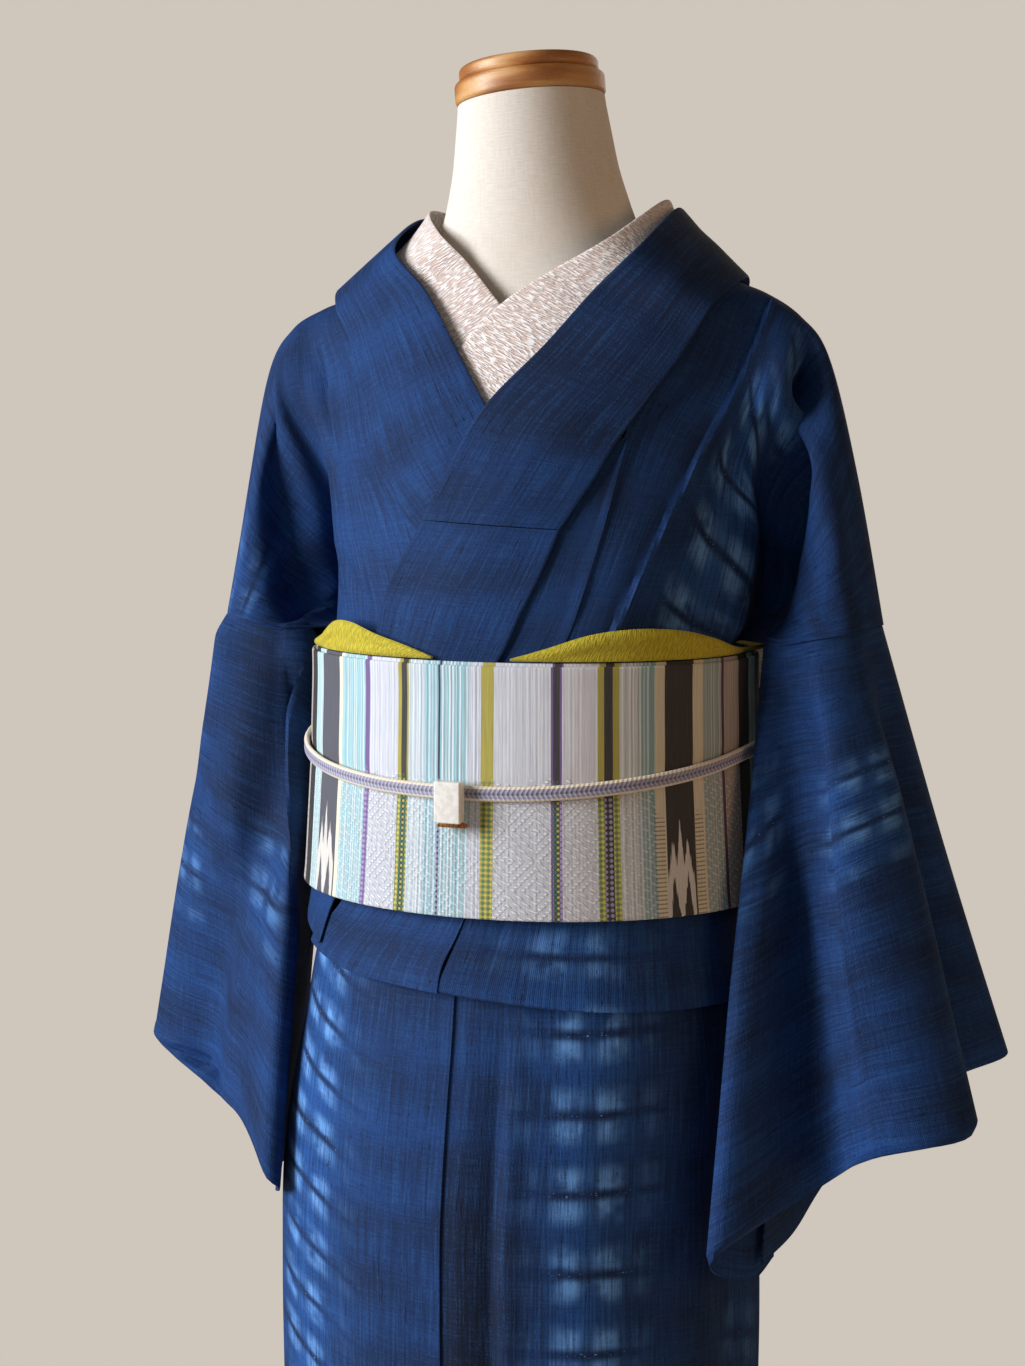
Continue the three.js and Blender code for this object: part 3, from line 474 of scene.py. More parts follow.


# %% [markdown]
# ## Indigo tsumugi
# Floss is drawn out by hand and hardly twisted, so the yarn swells and thins. Long slubs run along
# the warp and shorter ones along the weft, and thick places drink more dye. Several baths leave soft
# tides of darker blue. A dark span darkens a strip of the cloth: its middle and width across the
# cloth, the lengths where it starts and is full, and its share. On the right sleeve and the skirt's
# front it is painted shade. A sleeve's cloth runs across its surface.

# %%
# The last colour is laid over the dark spans, which on the right sleeve and the skirt's front are painted
# shade.
INK, INK_DEEP, INK_LIGHT, DARK_SPAN_BLUE = "#10305e", "#091d3c", "#17437f", "#050f22"
THREAD_U, THREAD_V = 0.75, 0.7  # one pair of threads, drawn a little coarser than they are


def indigo(name, columns=(), across=False, dark_spans=()):
    c = Cloth(name)
    p, q = (c.v, c.u) if across else (c.u, c.v)  # the strongest slubs run along q
    warp = c.add("TexNoise", Vector=(p / 1.5, q / 46.0, 0.0), Scale=1.0, Detail=3.0)
    slub = c.add("TexNoise", Vector=(p / 1.8, q / 26.0, 3.7), Scale=1.0)
    weft = c.add("TexNoise", Vector=(p / 22.0, q / 1.4, 9.1), Scale=1.0)
    grain = c.add("TexNoise", Vector=(c.u / 0.9, c.v / 0.9, 4.4), Scale=1.0, Detail=1.0)
    cloud = c.add("TexNoise", Vector=(c.u / 60.0, c.v / 80.0, 5.3), Scale=1.0, Detail=3.0)
    bands = (c.v + (cloud - 0.5) * 46.0).waves(46.0) * 0.5 + 0.5
    tide = bands * 0.42 + cloud.step(0.30, 0.72) * 0.58
    color = c.coats(linear(INK_DEEP), (tide, INK_LIGHT), (0.40, INK))
    streak = warp.step(0.35, 0.65) * 0.40 + 0.66
    for column in columns:
        color = tied_column(c, color, streak, column)
    # Each dark span lays the darkest blue over the cloth, as painted shade on the right sleeve and the
    # skirt's front.
    for middle, width, start, full, share in dark_spans:
        color = c.coats(color, (c.u.bell(middle, width) * c.v.step(start, full) * share, DARK_SPAN_BLUE))
    fine = (warp - 0.5) * 1.9 + (weft - 0.5) * 0.8 + (grain - 0.5) * 1.0
    thick = slub.step(0.66, 0.74)
    knots = c.add("TexNoise", Vector=(p / 1.3, q / 6.0, 7.7), Scale=1.0, Detail=1.0).step(0.73, 0.78)
    color = c.coats(color, (fine * -0.95, "#050d20"), (fine * 0.45, "#376aa3"), (thick * 0.55, "#060f24"),
                    (knots * 0.8, "#030816"))
    threads = c.u.waves(THREAD_U) * 0.16 + c.v.waves(THREAD_V) * 0.14
    height = warp * 1.3 + thick * 0.7 + weft * 0.8 + grain * 0.9 + threads
    return c.finish(color, warp * 0.15 + 0.66, height, 0.24, sheen=0.03, Specular_IOR_Level=0.22)


# %% [markdown]
# ## Where the body panels run
# Each half of the body is one length of cloth from the front tuck up over the shoulder and down the
# back, with no shoulder seam. Across each row lie the front edge, a pleat, the side of the chest, the
# tuck under the arm, the part that hangs, and the armhole seam. The lower edge of the tuck slopes,
# because the cloth is taken up by hand when the kimono is tied.

# %%
LOW_ROWS = [
    # height, left front edge, right front edge, pleat, side, tuck, hang, arm
    (917, -4, 8, 30, 60, 76, 87, 98), (970, 2, 8, 32, 62, 78, 88, 98),
    (1046, 12, 8, 36, 65, 80, 90, 98), (1112, 21, 7, 39, 68, 86, 95, 100),
    (1129, 25, 6, 41, 76, 92, 98, 102),
]
BACK_ROWS = [
    # height, pleat, side, tuck, hang, arm, measured from the middle of the back
    (1129, 24, 46, 62, 69, 74), (1112, 24, 44, 60, 70, 76), (1046, 22, 42, 60, 72, 80),
    (970, 22, 42, 60, 72, 81), (917, 22, 42, 60, 72, 81),
]
TUCK_EDGE = np.array([
    (-98, 920), (-57, 934), (-34, 926), (-19, 924), (-3, 922), (11, 919), (24, 916), (39, 914), (98, 911),
], float)
SHOULDER_ROWS = [
    # side, tuck, hang, armhole seam
    (None, (141, 34, 1144), (148, 22, 1137), (157, -12, 1132)),
    (None, (144, 40, 1180), (160, 14, 1156), (174, -25, 1132)),
    ((143, -8, 1240), (153, 12, 1215), (178, -8, 1175), (195, -28, 1136)),
    ((165, -22, 1290), (178, -19, 1260), (198, -18, 1198), (213, -20, 1139.5)),
    ((171, -8, 1322), (188, -8, 1290), (206, -5, 1220), (222, -4, 1142)),
    ((173, 6, 1331), (191, 6, 1306), (209, 9, 1234), (226, 12, 1143)),
    ((170, 24, 1322), (188, 26, 1290), (206, 26, 1222), (221, 28, 1142)),
    ((163, 42, 1298), (180, 42, 1264), (198, 42, 1200), (209, 42, 1139.5)),
    ((150, 66, 1260), (160, 62, 1225), (178, 62, 1176), (190, 58, 1136)),
    ((134, 84, 1215), (142, 74, 1185), (158, 72, 1158), (168, 64, 1132)),
    ((116, 92, 1160), (134, 78, 1145), (144, 72, 1137), (155, 58, 1132)),
]
L, R = LEFT_PANEL, RIGHT_PANEL
LEFT_EDGE = [
    # front edge, pleat and, low down, the side: angle, height and how far out, or a point
    ((28, 1150, L), (43, 1148, L), (80, 1146, L - 1)), ((34, 1202, L), (51, 1198, L), (88, 1195, L - 1)),
    ((37, 1262, L - 1), (58, 1244, L)), ((44, 1308, L - 3), (66, 1292, L)),
]
RIGHT_EDGE = [
    ((6, 1152, R), (40, 1150, R), (80, 1146, R)), ((14, 1206, R), (48, 1198, R), (86, 1195, R)),
    ((29, 1254, R - 0.6), (56, 1244, R)), ((38, 1306, R - 2), (64, 1292, R + 2)),
]
TOP_EDGE = {
    1: [(skin(52, 1338, L - 3), (152, -14, 1332)), ((133, 8, 1352.5), (152, 7, 1345))],
    -1: [(skin(49, 1336, R - 2), (150, -14, 1330)), ((132, 8, 1349), (150, 7, 1343))],
}
BACK_EDGE = [
    ((110, 78, 1350), (142, 42, 1334)), ((62, 114.5, 1337), (124, 76, 1312)),
    ((0.6, 121, 1331), (96, 101, 1278)), ((0.6, 126, 1262), (62, 112, 1225)),
    ((0.6, 120, 1168), (56, 112, 1155)),
]
ACROSS, ALONG = 20, 8  # steps between two marks of a row, and between two rows
print(len(SHOULDER_ROWS), "rows over the shoulder")

# %% [markdown]
# ## Laying a panel over the shoulder
# Below the arm the cloth follows the body, and the tuck's lower edge turns inwards as a lip. Over the
# shoulder it leaves the body and hangs to the armhole seam. At the middle of the back both halves stop
# just short of each other, where they are sewn.

# %%
BACK_SEAM = 0.6  # how far each half stays from the middle of the back


def out_at(panel, angle):
    return panel + (RIGHT_PANEL - panel) * smoothstep(angle, 50, 98)


def tuck_edge(angle):
    return np.interp(angle, TUCK_EDGE[:, 0], TUCK_EDGE[:, 1])


def panel_grid(side, edges, panel, lip):
    """The panel's surface, and the rows where its armhole seam starts and ends."""
    rows = []
    first = 1 if side > 0 else 2

    def marked(marks):
        return curve(np.array([[mark, 0.0] for mark in marks], float), ACROSS)[:, 0]

    def around(z, marks, drop=0.0, lift=None):
        marks = marked(marks)
        height = z if lift is None else tuck_edge(side * marks) + lift
        out = out_at(panel, marks)
        return skin(marks, height, out - np.minimum(drop, out - OVER_SKIRT - CLOTH - SEAM))

    low = (LOW_ROWS[0][first],) + LOW_ROWS[0][3:]
    for lift, drop in ((9.0, lip), (2.0, lip), (0.0, lip * 0.5), (1.2, 0.1), (6.0, 0.0)):
        rows.append(around(TUCK, low, drop, lift))
    for row in LOW_ROWS[1:]:
        rows.append(around(row[0], (row[first],) + row[3:]))
    first_arm = len(rows)
    front = [[skin(*mark) for mark in edge] for edge in edges] + TOP_EDGE[side] + BACK_EDGE
    for edge, hung in zip(front, SHOULDER_ROWS):
        points = list(edge) + [p for p in hung if p is not None][-(6 - len(edge)):]
        rows.append(curve(np.array(points, float), ACROSS))
    last_arm = len(rows) - 1
    for z, *marks in BACK_ROWS:
        rows.append(skin(180 - marked([0.08] + marks), z, RIGHT_PANEL))
    steps = [2, 2, 2, 2] + [ALONG] * (len(rows) - 5)
    grid = curve(np.stack(rows), steps)
    nape = sum(steps[: first_arm + 6])
    grid[nape:, :, 0] = np.maximum(grid[nape:, :, 0], BACK_SEAM)
    return grid, sum(steps[:first_arm]), sum(steps[:last_arm])


left_panel, ARM_START, ARM_END = panel_grid(1, LEFT_EDGE, LEFT_PANEL, 3.6)
right_panel, _, _ = panel_grid(-1, RIGHT_EDGE, RIGHT_PANEL, 1.0)
right_panel = mirrored(right_panel)
print("panel grid", left_panel.shape, "armhole rows", ARM_START, ARM_END)

# %% [markdown]
# ## Creases and dye of the body panels
# The left front is pleated beside the collar, and a deep valley runs down from the shoulder, where the
# sleeve's weight pulls the cloth off the chest. The right front shows its own smaller pulls, and the
# back hangs almost plain. Each crease has its depth and width, its kind, how softly it starts and
# ends as shares of its length, and its line on the cloth from the shoulder down.

# %%
LEFT_CREASES = [
    (4.2, 15, 1, 0.1, 0.02, [(70, 446), (66, 420), (57, 392), (55, 344), (50, 290), (46, 255),
        (44, 232)]),
    (4.6, 9, 0, 0.3, 0.02, [(98, 410), (110, 356), (116, 311), (117, 279), (116, 234)]),
    (-2.4, 9, 0, 0.3, 0.1, [(84, 380), (90, 330), (88, 280), (84, 240)]),
    (-19, 14, 0, 0.14, 0.02, [(139, 446), (146, 411), (148, 384), (156, 360), (163, 330), (165, 300),
        (160, 262)]),
    (-13, 7, 0, 0.2, 0.3, [(140, 440), (145, 408), (149, 378), (157, 352)]),
    (-5, 9, 0, 0.2, 0.02, [(172, 340), (178, 300), (182, 265)]),
    (2.2, 10, 0, 0.3, 0.2, [(178, 430), (196, 380), (204, 330)]),
    (-1.6, 3, 0, 0.05, 0.3, [(20, 84), (18, 60), (16, 36)]),
]
RIGHT_CREASES = [
    (-3, 4.5, 0, 0.15, 0.05, [(54, 402), (60, 366), (69, 328), (74, 289), (86, 240)]),
    (2.2, 9, 0, 0.2, 0.1, [(72, 392), (80, 350), (90, 310), (100, 270)]),
    (-2.4, 4, 0, 0.1, 0.1, [(76, 284), (62, 262), (46, 244)]),
    (3.8, 8, 0, 0.2, 0.05, [(124, 408), (143, 368), (157, 340), (172, 305), (184, 268)]),
    (-11, 13, 0, 0.2, 0.05, [(146, 402), (162, 366), (178, 336), (194, 300), (206, 268)]),
    (1.8, 9, 0, 0.3, 0.3, [(30, 390), (34, 340), (30, 290)]),
]
BACK_CREASES = [
    (1.8, 8, 0, 0.3, 0.2, [(60, 560), (64, 610), (66, 660)]),
    (-2.6, 9, 0, 0.3, 0.2, [(100, 560), (104, 610), (100, 656)]),
    (1.6, 7, 0, 0.3, 0.2, [(30, 580), (34, 620), (40, 670)]),
]
left_panel = creased(left_panel, LEFT_CREASES + BACK_CREASES[:2], 1)
right_panel = creased(right_panel, RIGHT_CREASES + BACK_CREASES[1:], -1)

LEFT_CHEST = [
    (97, 19, 41, 0.75, 0.95, 250, 396, 31), (130, 12, 44, 0.5, 0.5, 372, 440, 22),
    (52, 22, 46, 0, 0.65, 0, 75, 26),
]
RIGHT_CHEST = [(205, 14, 46, 0.1, 0.35, 320, 420, 24), (118, 12, 40, 0.1, 0.4, 240, 300, 22)]
for name, grid, columns in (("left_body", left_panel, LEFT_CHEST), ("right_body", right_panel, RIGHT_CHEST)):
    shell(name, grid, CLOTH, name + "_panel", "indigo_tsumugi", indigo("indigo_" + name, columns))

# %% [markdown]
# ## The okumi
# A narrow panel, the okumi, is sewn to each front edge so that the fronts overlap. Only the left one
# shows above the sash. Its lower end turns in with the tuck, and its inner edge is pressed over the
# seam, which shows as a small step.

# %%
OKUMI = np.array([
    # height, angle of its outer edge, angle of its inner edge
    (917, -56, -4.2), (936, -50, -3.2), (970, -38, 1.9), (1046, -14, 12.2), (1112, 2, 21.8),
    (1150, 12, 28.9), (1202, 21, 34.6), (1238, 29, 36.6), (1256, 33.6, 37.5),
], float)
OKUMI_COLUMNS, OKUMI_OUT, PRESSED = 48, LEFT_PANEL - 0.2, 1.1
rows = curve(OKUMI, 6)
share = np.linspace(0, 1, OKUMI_COLUMNS + 1)
angles = rows[:, 1:2] + (rows[:, 2:3] - rows[:, 1:2]) * share
heights = np.repeat(rows[:, :1], OKUMI_COLUMNS + 1, 1)
heights = heights + (tuck_edge(angles) - TUCK) * smoothstep(heights, 970, TUCK)
okumi = skin(angles, heights, OKUMI_OUT + PRESSED * smoothstep(share, 0.8, 1.0))
lip = [skin(angles[0], heights[0] + lift, OKUMI_OUT - drop)
       for lift, drop in ((9, 3.4), (2, 3.4), (0.0, 1.8))]
okumi = np.concatenate([np.stack(lip), okumi])
shell("left_overlap", okumi, CLOTH, "left_okumi", "indigo_tsumugi", indigo("indigo_overlap"))

# %% [markdown]
# ## Crepe
# Crepe is woven with yarn that is twisted hard in turn to the left and to the right. Washed in hot
# water it shrinks and the face rises in tiny ridges. The band's ridges lie steeply on the fold; they
# are drawn a little larger than they are, so that they show. Their hollows are painted darker and their
# tops lighter, as painted shade and painted highlight.

# %%
def crepe(name, shade, light, grain, depth, diagonal):
    c = Cloth(name)
    x = c.u * math.cos(diagonal) + c.v * math.sin(diagonal)
    y = c.v * math.cos(diagonal) - c.u * math.sin(diagonal)
    ridges = c.add("TexNoise", Vector=(x / (grain * 0.8), y / (grain * 3.4), 0.0), Scale=1.0, Detail=1.0)
    fine = grain * 0.6
    crimp = c.add("TexNoise", Vector=(c.u / fine, c.v / fine, 4.0), Scale=1.0, Detail=1.0)
    height = ridges.step(0.36, 0.62) * 0.9 + crimp * 0.35
    # Painted shade and highlight: the colour follows the ridges' height, darker in the hollows and lighter
    # on the tops.
    color = c.coats(linear(shade), (height.step(0.1, 1.05), light))
    return c.finish(color, 0.78, height, depth, sheen=0.15)


# The band's darker colour is painted shade in the hollows and its lighter one painted highlight on the
# ridges.
band_crepe = crepe("pale_crepe_band", "#dabfae", "#fbf2ea", 1.3, 0.6, 1.35)

# %% [markdown]
# ## Where the collars run
# The collar is one long strip, folded lengthwise. It stands away from the nape, comes over the
# shoulders and crosses on the chest. Each row has its two edges, the one at the neck first, as an
# angle and a height on the body, or as a point in the room where it stands free.

# %%
COLLAR_BACK = [
    ((0.15, 104, 1378), (0.15, 130, 1326)), ((45, 92, 1387), (64, 122, 1333)),
    ((77, 62, 1397), (112, 84, 1347)), ((88, 22, 1401), (138, 12, 1356)),
]
LEFT_FRONT = [
    ((39, 1372), (53, 1338)), ((23, 1346), (47, 1313)), ((13, 1313), (41, 1283)), ((2, 1277), (35, 1256)),
    ((-5, 1241), (30, 1229)), ((-11, 1208), (24, 1203)),
]
LEFT_LOWER = [
    ((-11.1, 1207.5), (23.9, 1202.5)), ((-18, 1181), (20, 1176)), ((-23, 1159), (15, 1150)),
    ((-27, 1132), (10, 1125)), ((-40, 1070), (-6, 1062)), ((-56, 1004), (-30, 1000)),
    ((-66, 972), (-42, 966)), ((-71, 953), (-46, 936)),
]
RIGHT_FRONT = [
    ((38, 1376), (52, 1342)), ((19, 1349), (43, 1320)), ((8, 1311), (36, 1278)), ((-1, 1277), (28, 1236)),
    ((-10, 1244), (16, 1205)), ((-21, 1205), (0, 1170)), ((-32, 1160), (-12, 1130)),
    ((-40, 1124), (-22, 1108)),
]
BAND_BACK = [
    ((0.15, 98, 1386), (0.15, 107, 1360)), ((42, 86, 1394), (52, 97, 1368)),
    ((70, 58, 1403), (82, 64, 1377)), ((80, 20, 1406), (92, 20, 1382)),
]
LEFT_BAND_FRONT = [
    ((33, 1378), (46, 1352)), ((12, 1357), (28, 1330)), ((0, 1338), (18, 1308)), ((-9, 1311), (8, 1276)),
    ((-16, 1290), (1, 1258)),
]
RIGHT_BAND_FRONT = [
    ((26, 1386), (45, 1356)), ((11, 1366), (27, 1332)), ((0, 1339), (16, 1306)), ((-10, 1312), (6, 1276)),
]


def strip(stations, out):
    """Rows of three points: the edge against the neck, the middle and the outer edge."""
    rows = []
    for inner, outer in stations:
        a, b = (np.array(p, float) if len(p) == 3 else skin(p[0], p[1], out) for p in (inner, outer))
        free = len(inner) == 3 or len(outer) == 3
        middle = (a + b) / 2 if free else skin((inner[0] + outer[0]) / 2, (inner[1] + outer[1]) / 2, out)
        rows.append(np.stack([a, middle, b]))
    return rows


print("collar rows", len(COLLAR_BACK + LEFT_FRONT + LEFT_LOWER), "and", len(COLLAR_BACK + RIGHT_FRONT))

# %% [markdown]
# ## Folding and sewing the collars
# A folded strip is soft and round at its long edges, so its wall gets thinner there like a pillow's.
# The over-collar protects the part that wears most, and its end shows as a seam on the chest. The pale
# band belongs to the undergarment and shows a finger's width.

# %%
SOFT_MARKS = (0.25, 0.7, 1.4, 2.4)  # extra columns this far from an edge
BAND_WALL = 1.5


def soft_edges(grid, thickness, reach=2.2):
    """Columns added near both long edges, and a wall that rounds off towards them."""
    span = np.linalg.norm(np.diff(grid, axis=1), axis=2).mean(0)
    left = [grid[:, 0] + (grid[:, 1] - grid[:, 0]) * min(m / span[0], 0.9) for m in SOFT_MARKS]
    right = [grid[:, -1] + (grid[:, -2] - grid[:, -1]) * min(m / span[-1], 0.9) for m in SOFT_MARKS[::-1]]
    full = np.concatenate(
        [grid[:, :1], np.stack(left, 1), grid[:, 1:-1], np.stack(right, 1), grid[:, -1:]], 1)
    u, _ = lengths(full)
    inward = np.clip(np.minimum(u, u[-1] - u) / reach, 0, 1)
    shape = np.sqrt(np.clip(1 - (1 - inward) ** 2, 0.02, 1))
    return full, thickness * shape[None, :, None]


def collar(name, node_name, stations, out, side, slot, material, thickness=COLLAR, creases=()):
    grid = loft(strip(stations, out), 10, 10)
    if side < 0:
        grid = mirrored(grid)
    grid, wall = soft_edges(creased(grid, creases, side), thickness)
    return shell(name, grid, wall, node_name, slot, material)


collar_dye = indigo("indigo_collar")
# The upper collar is darkened over most of its length, fading out at its lower end on the chest.
upper_dye = indigo("indigo_upper_collar", dark_spans=[(26.0, 90.0, 405.0, 345.0, 0.6)])
COLLAR_CREASES = [
    (0.8, 12, 0, 0.3, 0.3, [(20, 120), (24, 200), (20, 280)]),
    (-0.6, 10, 0, 0.3, 0.3, [(42, 150), (38, 230), (40, 300)]),
]
collar("left_upper_collar", "left_over_collar", COLLAR_BACK + LEFT_FRONT, LEFT_COLLAR, 1,
       "indigo_tsumugi", upper_dye, creases=COLLAR_CREASES)
collar("left_lower_collar", "left_collar", LEFT_LOWER, LEFT_COLLAR - 0.6, 1, "indigo_tsumugi", collar_dye)
collar("right_whole_collar", "right_collar", COLLAR_BACK + RIGHT_FRONT, RIGHT_COLLAR, -1,
       "indigo_tsumugi", collar_dye)
collar("left_pale_band", "left_inner_band", BAND_BACK + LEFT_BAND_FRONT, LEFT_BAND, 1,
       "pale_crepe", band_crepe, BAND_WALL)
collar("right_pale_band", "right_inner_band", BAND_BACK + RIGHT_BAND_FRONT, RIGHT_BAND, -1,
       "pale_crepe", band_crepe, BAND_WALL)

# %% [markdown]
# ## The sleeves' strands
# A kimono sleeve is a flat bag that is open under the arm. Without an arm inside it falls into a few
# deep folds. Strands hang from the armhole seam: each has its place halfway down and at the foot. Both
# sleeves differ, as each falls in its own way.

# %%
LEFT_FREE = [(158, 18, 1116), (157, 4, 1122), (158, 50, 1122), (158, 40, 1116)]
LEFT_STRANDS = [
    ((171, -2, 930), (174, -30, 750)), ((162, -28, 940), (166, -56, 742)),
    ((157, -56, 948), (152, -86, 764)), ((191, -25, 970), (209, -33, 803)),
    ((216, -56, 984), (246, -77, 836)), ((251, -22, 1000), (297, -42, 846)),
    ((244, 16, 1002), (266, 38, 852)), ((259, 38, 1005), (297, 70, 865)),
    ((252, 66, 1000), (282, 104, 862)), ((228, 86, 990), (250, 118, 850)),
    ((206, 84, 980), (222, 98, 832)), ((190, 66, 965), (202, 62, 802)), ((180, 44, 950), (188, 24, 776)),
    ((176, 20, 940), (180, -8, 758)), ((172, -12, 932), (173, -52, 753)),
]
RIGHT_STRANDS = [
    ((163, -2, 930), (172, -32, 763)), ((156, -29, 940), (159, -63, 760)),
    ((151, -58, 950), (149, -87, 773)), ((182, -46, 965), (178, -72, 806)),
    ((208, -40, 978), (206, -50, 812)), ((232, -22, 990), (246, -20, 818)),
    ((246, -2, 996), (276, 2, 824)), ((260, 20, 1004), (301, 30, 829)), ((250, 48, 998), (286, 70, 828)),
    ((226, 72, 990), (252, 96, 822)), ((204, 78, 980), (222, 88, 812)), ((190, 64, 965), (204, 60, 796)),
    ((180, 44, 950), (190, 24, 776)), ((170, 21, 940), (181, -8, 762)), ((166, 7, 930), (177, -34, 766)),
]
TUCKED_UP, TUCKED_IN, SLEEVE_ROWS = 3.5, 2.0, 36
print(len(LEFT_STRANDS), "and", len(RIGHT_STRANDS), "strands")


def sleeve(name, node_name, strands, panel, side, material, creases):
    flip = np.array([side, 1.0, 1.0])
    seam = panel[ARM_START : ARM_END + 1, -1]
    outward = normals(panel)[ARM_START : ARM_END + 1, -1] * np.array([1.0, 1.0, 0.0])
    outward /= np.linalg.norm(outward, axis=1, keepdims=True)
    outward *= np.sign((outward * (seam - np.array([side * 165.0, 20.0, 0]))).sum(1).mean())
    # The sleeve's top edge is sewn in under the body panel's lower edge.
    lowered = seam + np.array([0, 0, TUCKED_UP]) - outward * TUCKED_IN
    free = np.array(LEFT_FREE, float) * flip
    first = curve(np.stack([free[0], free[1], lowered[0]]), ALONG)[:-1]
    last = curve(np.stack([lowered[-1], free[2], free[3]]), ALONG)[1:]
    middle, foot = (curve(np.array([strand[n] for strand in strands], float) * flip, ALONG) for n in (0, 1))
    grid = curve(np.stack([np.concatenate([first, lowered, last]), middle, foot]), SLEEVE_ROWS)
    return shell(name, creased(grid, creases, -side), CLOTH, node_name, "indigo_tsumugi", material)


# %% [markdown]
# ## Creases and dye of the sleeves
# The main folds come from the strands. Creases sharpen them, and a few pale blotches cross each sleeve
# at elbow height, because its cloth was bound in the same bath as the body's. The deep fold near the
# top of the right sleeve also has painted shade.

# %%
LEFT_SLEEVE_CREASES = [
    (5.6, 14, 0, 0.3, 0.02, [(78, 90), (74, 144), (70, 193), (70, 250), (68, 334)]),
    (-8, 17, 0, 0.2, 0.02, [(128, 30), (140, 79), (147, 150), (152, 209), (153, 257), (152, 334)]),
    (4, 18, 0, 0.25, 0.02, [(206, 40), (208, 150), (206, 230), (200, 334)]),
    (-3, 12, 0, 0.3, 0.1, [(232, 60), (234, 120), (230, 190)]),
    (3, 10, 0, 0.2, 0.02, [(258, 60), (262, 170), (262, 250), (258, 334)]),
    (-2.5, 18, 0, 0.2, 0.02, [(340, 60), (346, 200), (350, 334)]),
]
RIGHT_SLEEVE_CREASES = [
    (8.5, 22, 0, 0.1, 0.02, [(154, 0), (156, 74), (176, 133), (186, 200), (188, 345)]),
    (-16, 25, 0, 0.1, 0.02, [(62, 20), (68, 84), (86, 128), (111, 184), (132, 234), (149, 284),
        (156, 340)]),
    (4, 18, 0, 0.3, 0.02, [(44, 150), (52, 220), (58, 345)]),
    (-2.5, 18, 0, 0.2, 0.02, [(290, 60), (296, 200), (300, 345)]),
]
LEFT_PATCHES = [
    (72, 22, 44, 0.3, 0.42, 74, 146, 28), (182, 34, 34, 0.03, 0.66, 88, 156, 27),
    (380, 50, 46, 0.05, 0.5, 80, 170, 26),
]
RIGHT_PATCHES = [
    (86, 30, 40, -0.2, 0.44, 142, 206, 31), (186, 20, 38, -0.1, 0.46, 175, 236, 26),
    (320, 50, 46, 0.05, 0.5, 120, 210, 26),
]
# Painted shade: a dark span in the deep fold near the top of the right sleeve, beside the body.
RIGHT_SLEEVE_SHADE = [(108.0, 34.0, 175.0, 95.0, 0.6)]
for word, strands, panel, side, creases, patches, dark_spans in (
    ("left", LEFT_STRANDS, left_panel, 1, LEFT_SLEEVE_CREASES, LEFT_PATCHES, []),
    ("right", RIGHT_STRANDS, right_panel, -1, RIGHT_SLEEVE_CREASES, RIGHT_PATCHES, RIGHT_SLEEVE_SHADE),
):
    name = word + "_hanging_sleeve"
    dye = indigo("indigo_" + name, patches, across=True, dark_spans=dark_spans)
    sleeve(name, word + "_sleeve", strands, panel, side, dye, creases)

# %% [markdown]
# ## How the skirt falls
# The skirt is wrapped tightly and narrows towards the hem. Soft troughs and ridges run down it from
# the ties under the sash. Each has its angle at the sash and at the hem, how far in or out it goes,
# and its width in degrees. On the wearer's right the end of the wrap lies over the hip and lifts it.

# %%
SKIRT_FOLDS = [
    (8.4, 9.2, -2.6, 3.6), (10.6, 11.6, -3.2, 1.8), (14, 15, 1.7, 2.4), (46, 52, -3, 12), (78, 74, -4, 9),
    (112, 108, -5, 10), (150, 156, -4, 12), (-36, -32, -1.5, 10), (-92, -94, -3, 7), (-118, -110, -5, 11),
    (-152, -158, -3.5, 12), (30, 33, 0.8, 6), (-18, -14, 0.6, 5), (62, 64, 1, 5), (-52, -50, 1.2, 6),
    (96, 94, 1.2, 5), (134, 130, 1.4, 6), (-98, -97, 1.2, 6), (-136, -132, 1.4, 6), (170, 168, -1.5, 5),
    (-172, -170, -1.3, 5),
]
HIP_LIFT, HIP_ANGLE, HIP_WIDTH = 6.5, -68, 12
SWAY = 8.0  # the skirt hangs this far to the wearer's right of the body's middle


def on_skirt(angle, z, out):
    below = SKIRT_TOP - z
    down = below / (SKIRT_TOP - HEM)
    fade = smoothstep(below, 110, 260)
    lift = 0
    for top, hem, depth, width in SKIRT_FOLDS:
        lift = lift + depth * fade * np.exp(-(((angle - top - (hem - top) * down) / width) ** 2))
    lift = lift + HIP_LIFT * smoothstep(below, 155, 250) * np.exp(-(((angle - HIP_ANGLE) / HIP_WIDTH) ** 2))
    points = skin(angle, z, out + lift)
    points[..., 0] -= SWAY * smoothstep(below, 110, 300)
    return points


print("hem", [round(float(size)) for size in body_at(HEM)], "half width, half depth, middle")

# %% [markdown]
# ## The skirt's panels
# Below the sash the same body panels and okumi go on down: two fronts, two okumi and two backs, joined
# by straight seams. The right side lies underneath. The dye's columns run down beside the seams, since
# the dyer measured them from the cloth's edge. Two dark spans on the left front are painted shade.

# %%
SKIRT_PANELS = [
    # name, node, angles at the waist, at the hem, how far out each edge lies, columns
    ("left_front", "left_front_skirt", (-2, 92), (0, 92), (OVER_SKIRT, OVER_SKIRT), 94),
    ("left_wrap", "left_okumi_skirt", (-63, -1.5), (-60, 0.5), (OVER_SKIRT, OVER_SKIRT), 62),
    ("right_front", "right_front_skirt", (-92, 25), (-92, 27), (UNDER_SKIRT, UNDER_SKIRT), 90),
    ("right_wrap", "right_okumi_skirt", (25.2, 78), (27.2, 80), (UNDER_SKIRT, UNDER_SKIRT), 40),
    ("left_back", "left_back_skirt", (92.2, 179.9), (92.2, 179.9), (OVER_SKIRT, UNDER_SKIRT + 1), 80),
    ("right_back", "right_back_skirt", (-179.9, -92.2), (-179.9, -92.2), (UNDER_SKIRT + 1, UNDER_SKIRT), 80),
]
WRAP_DYE = [(-113, 28, 37, 0.34, 0.95, 0, 960, 33)]
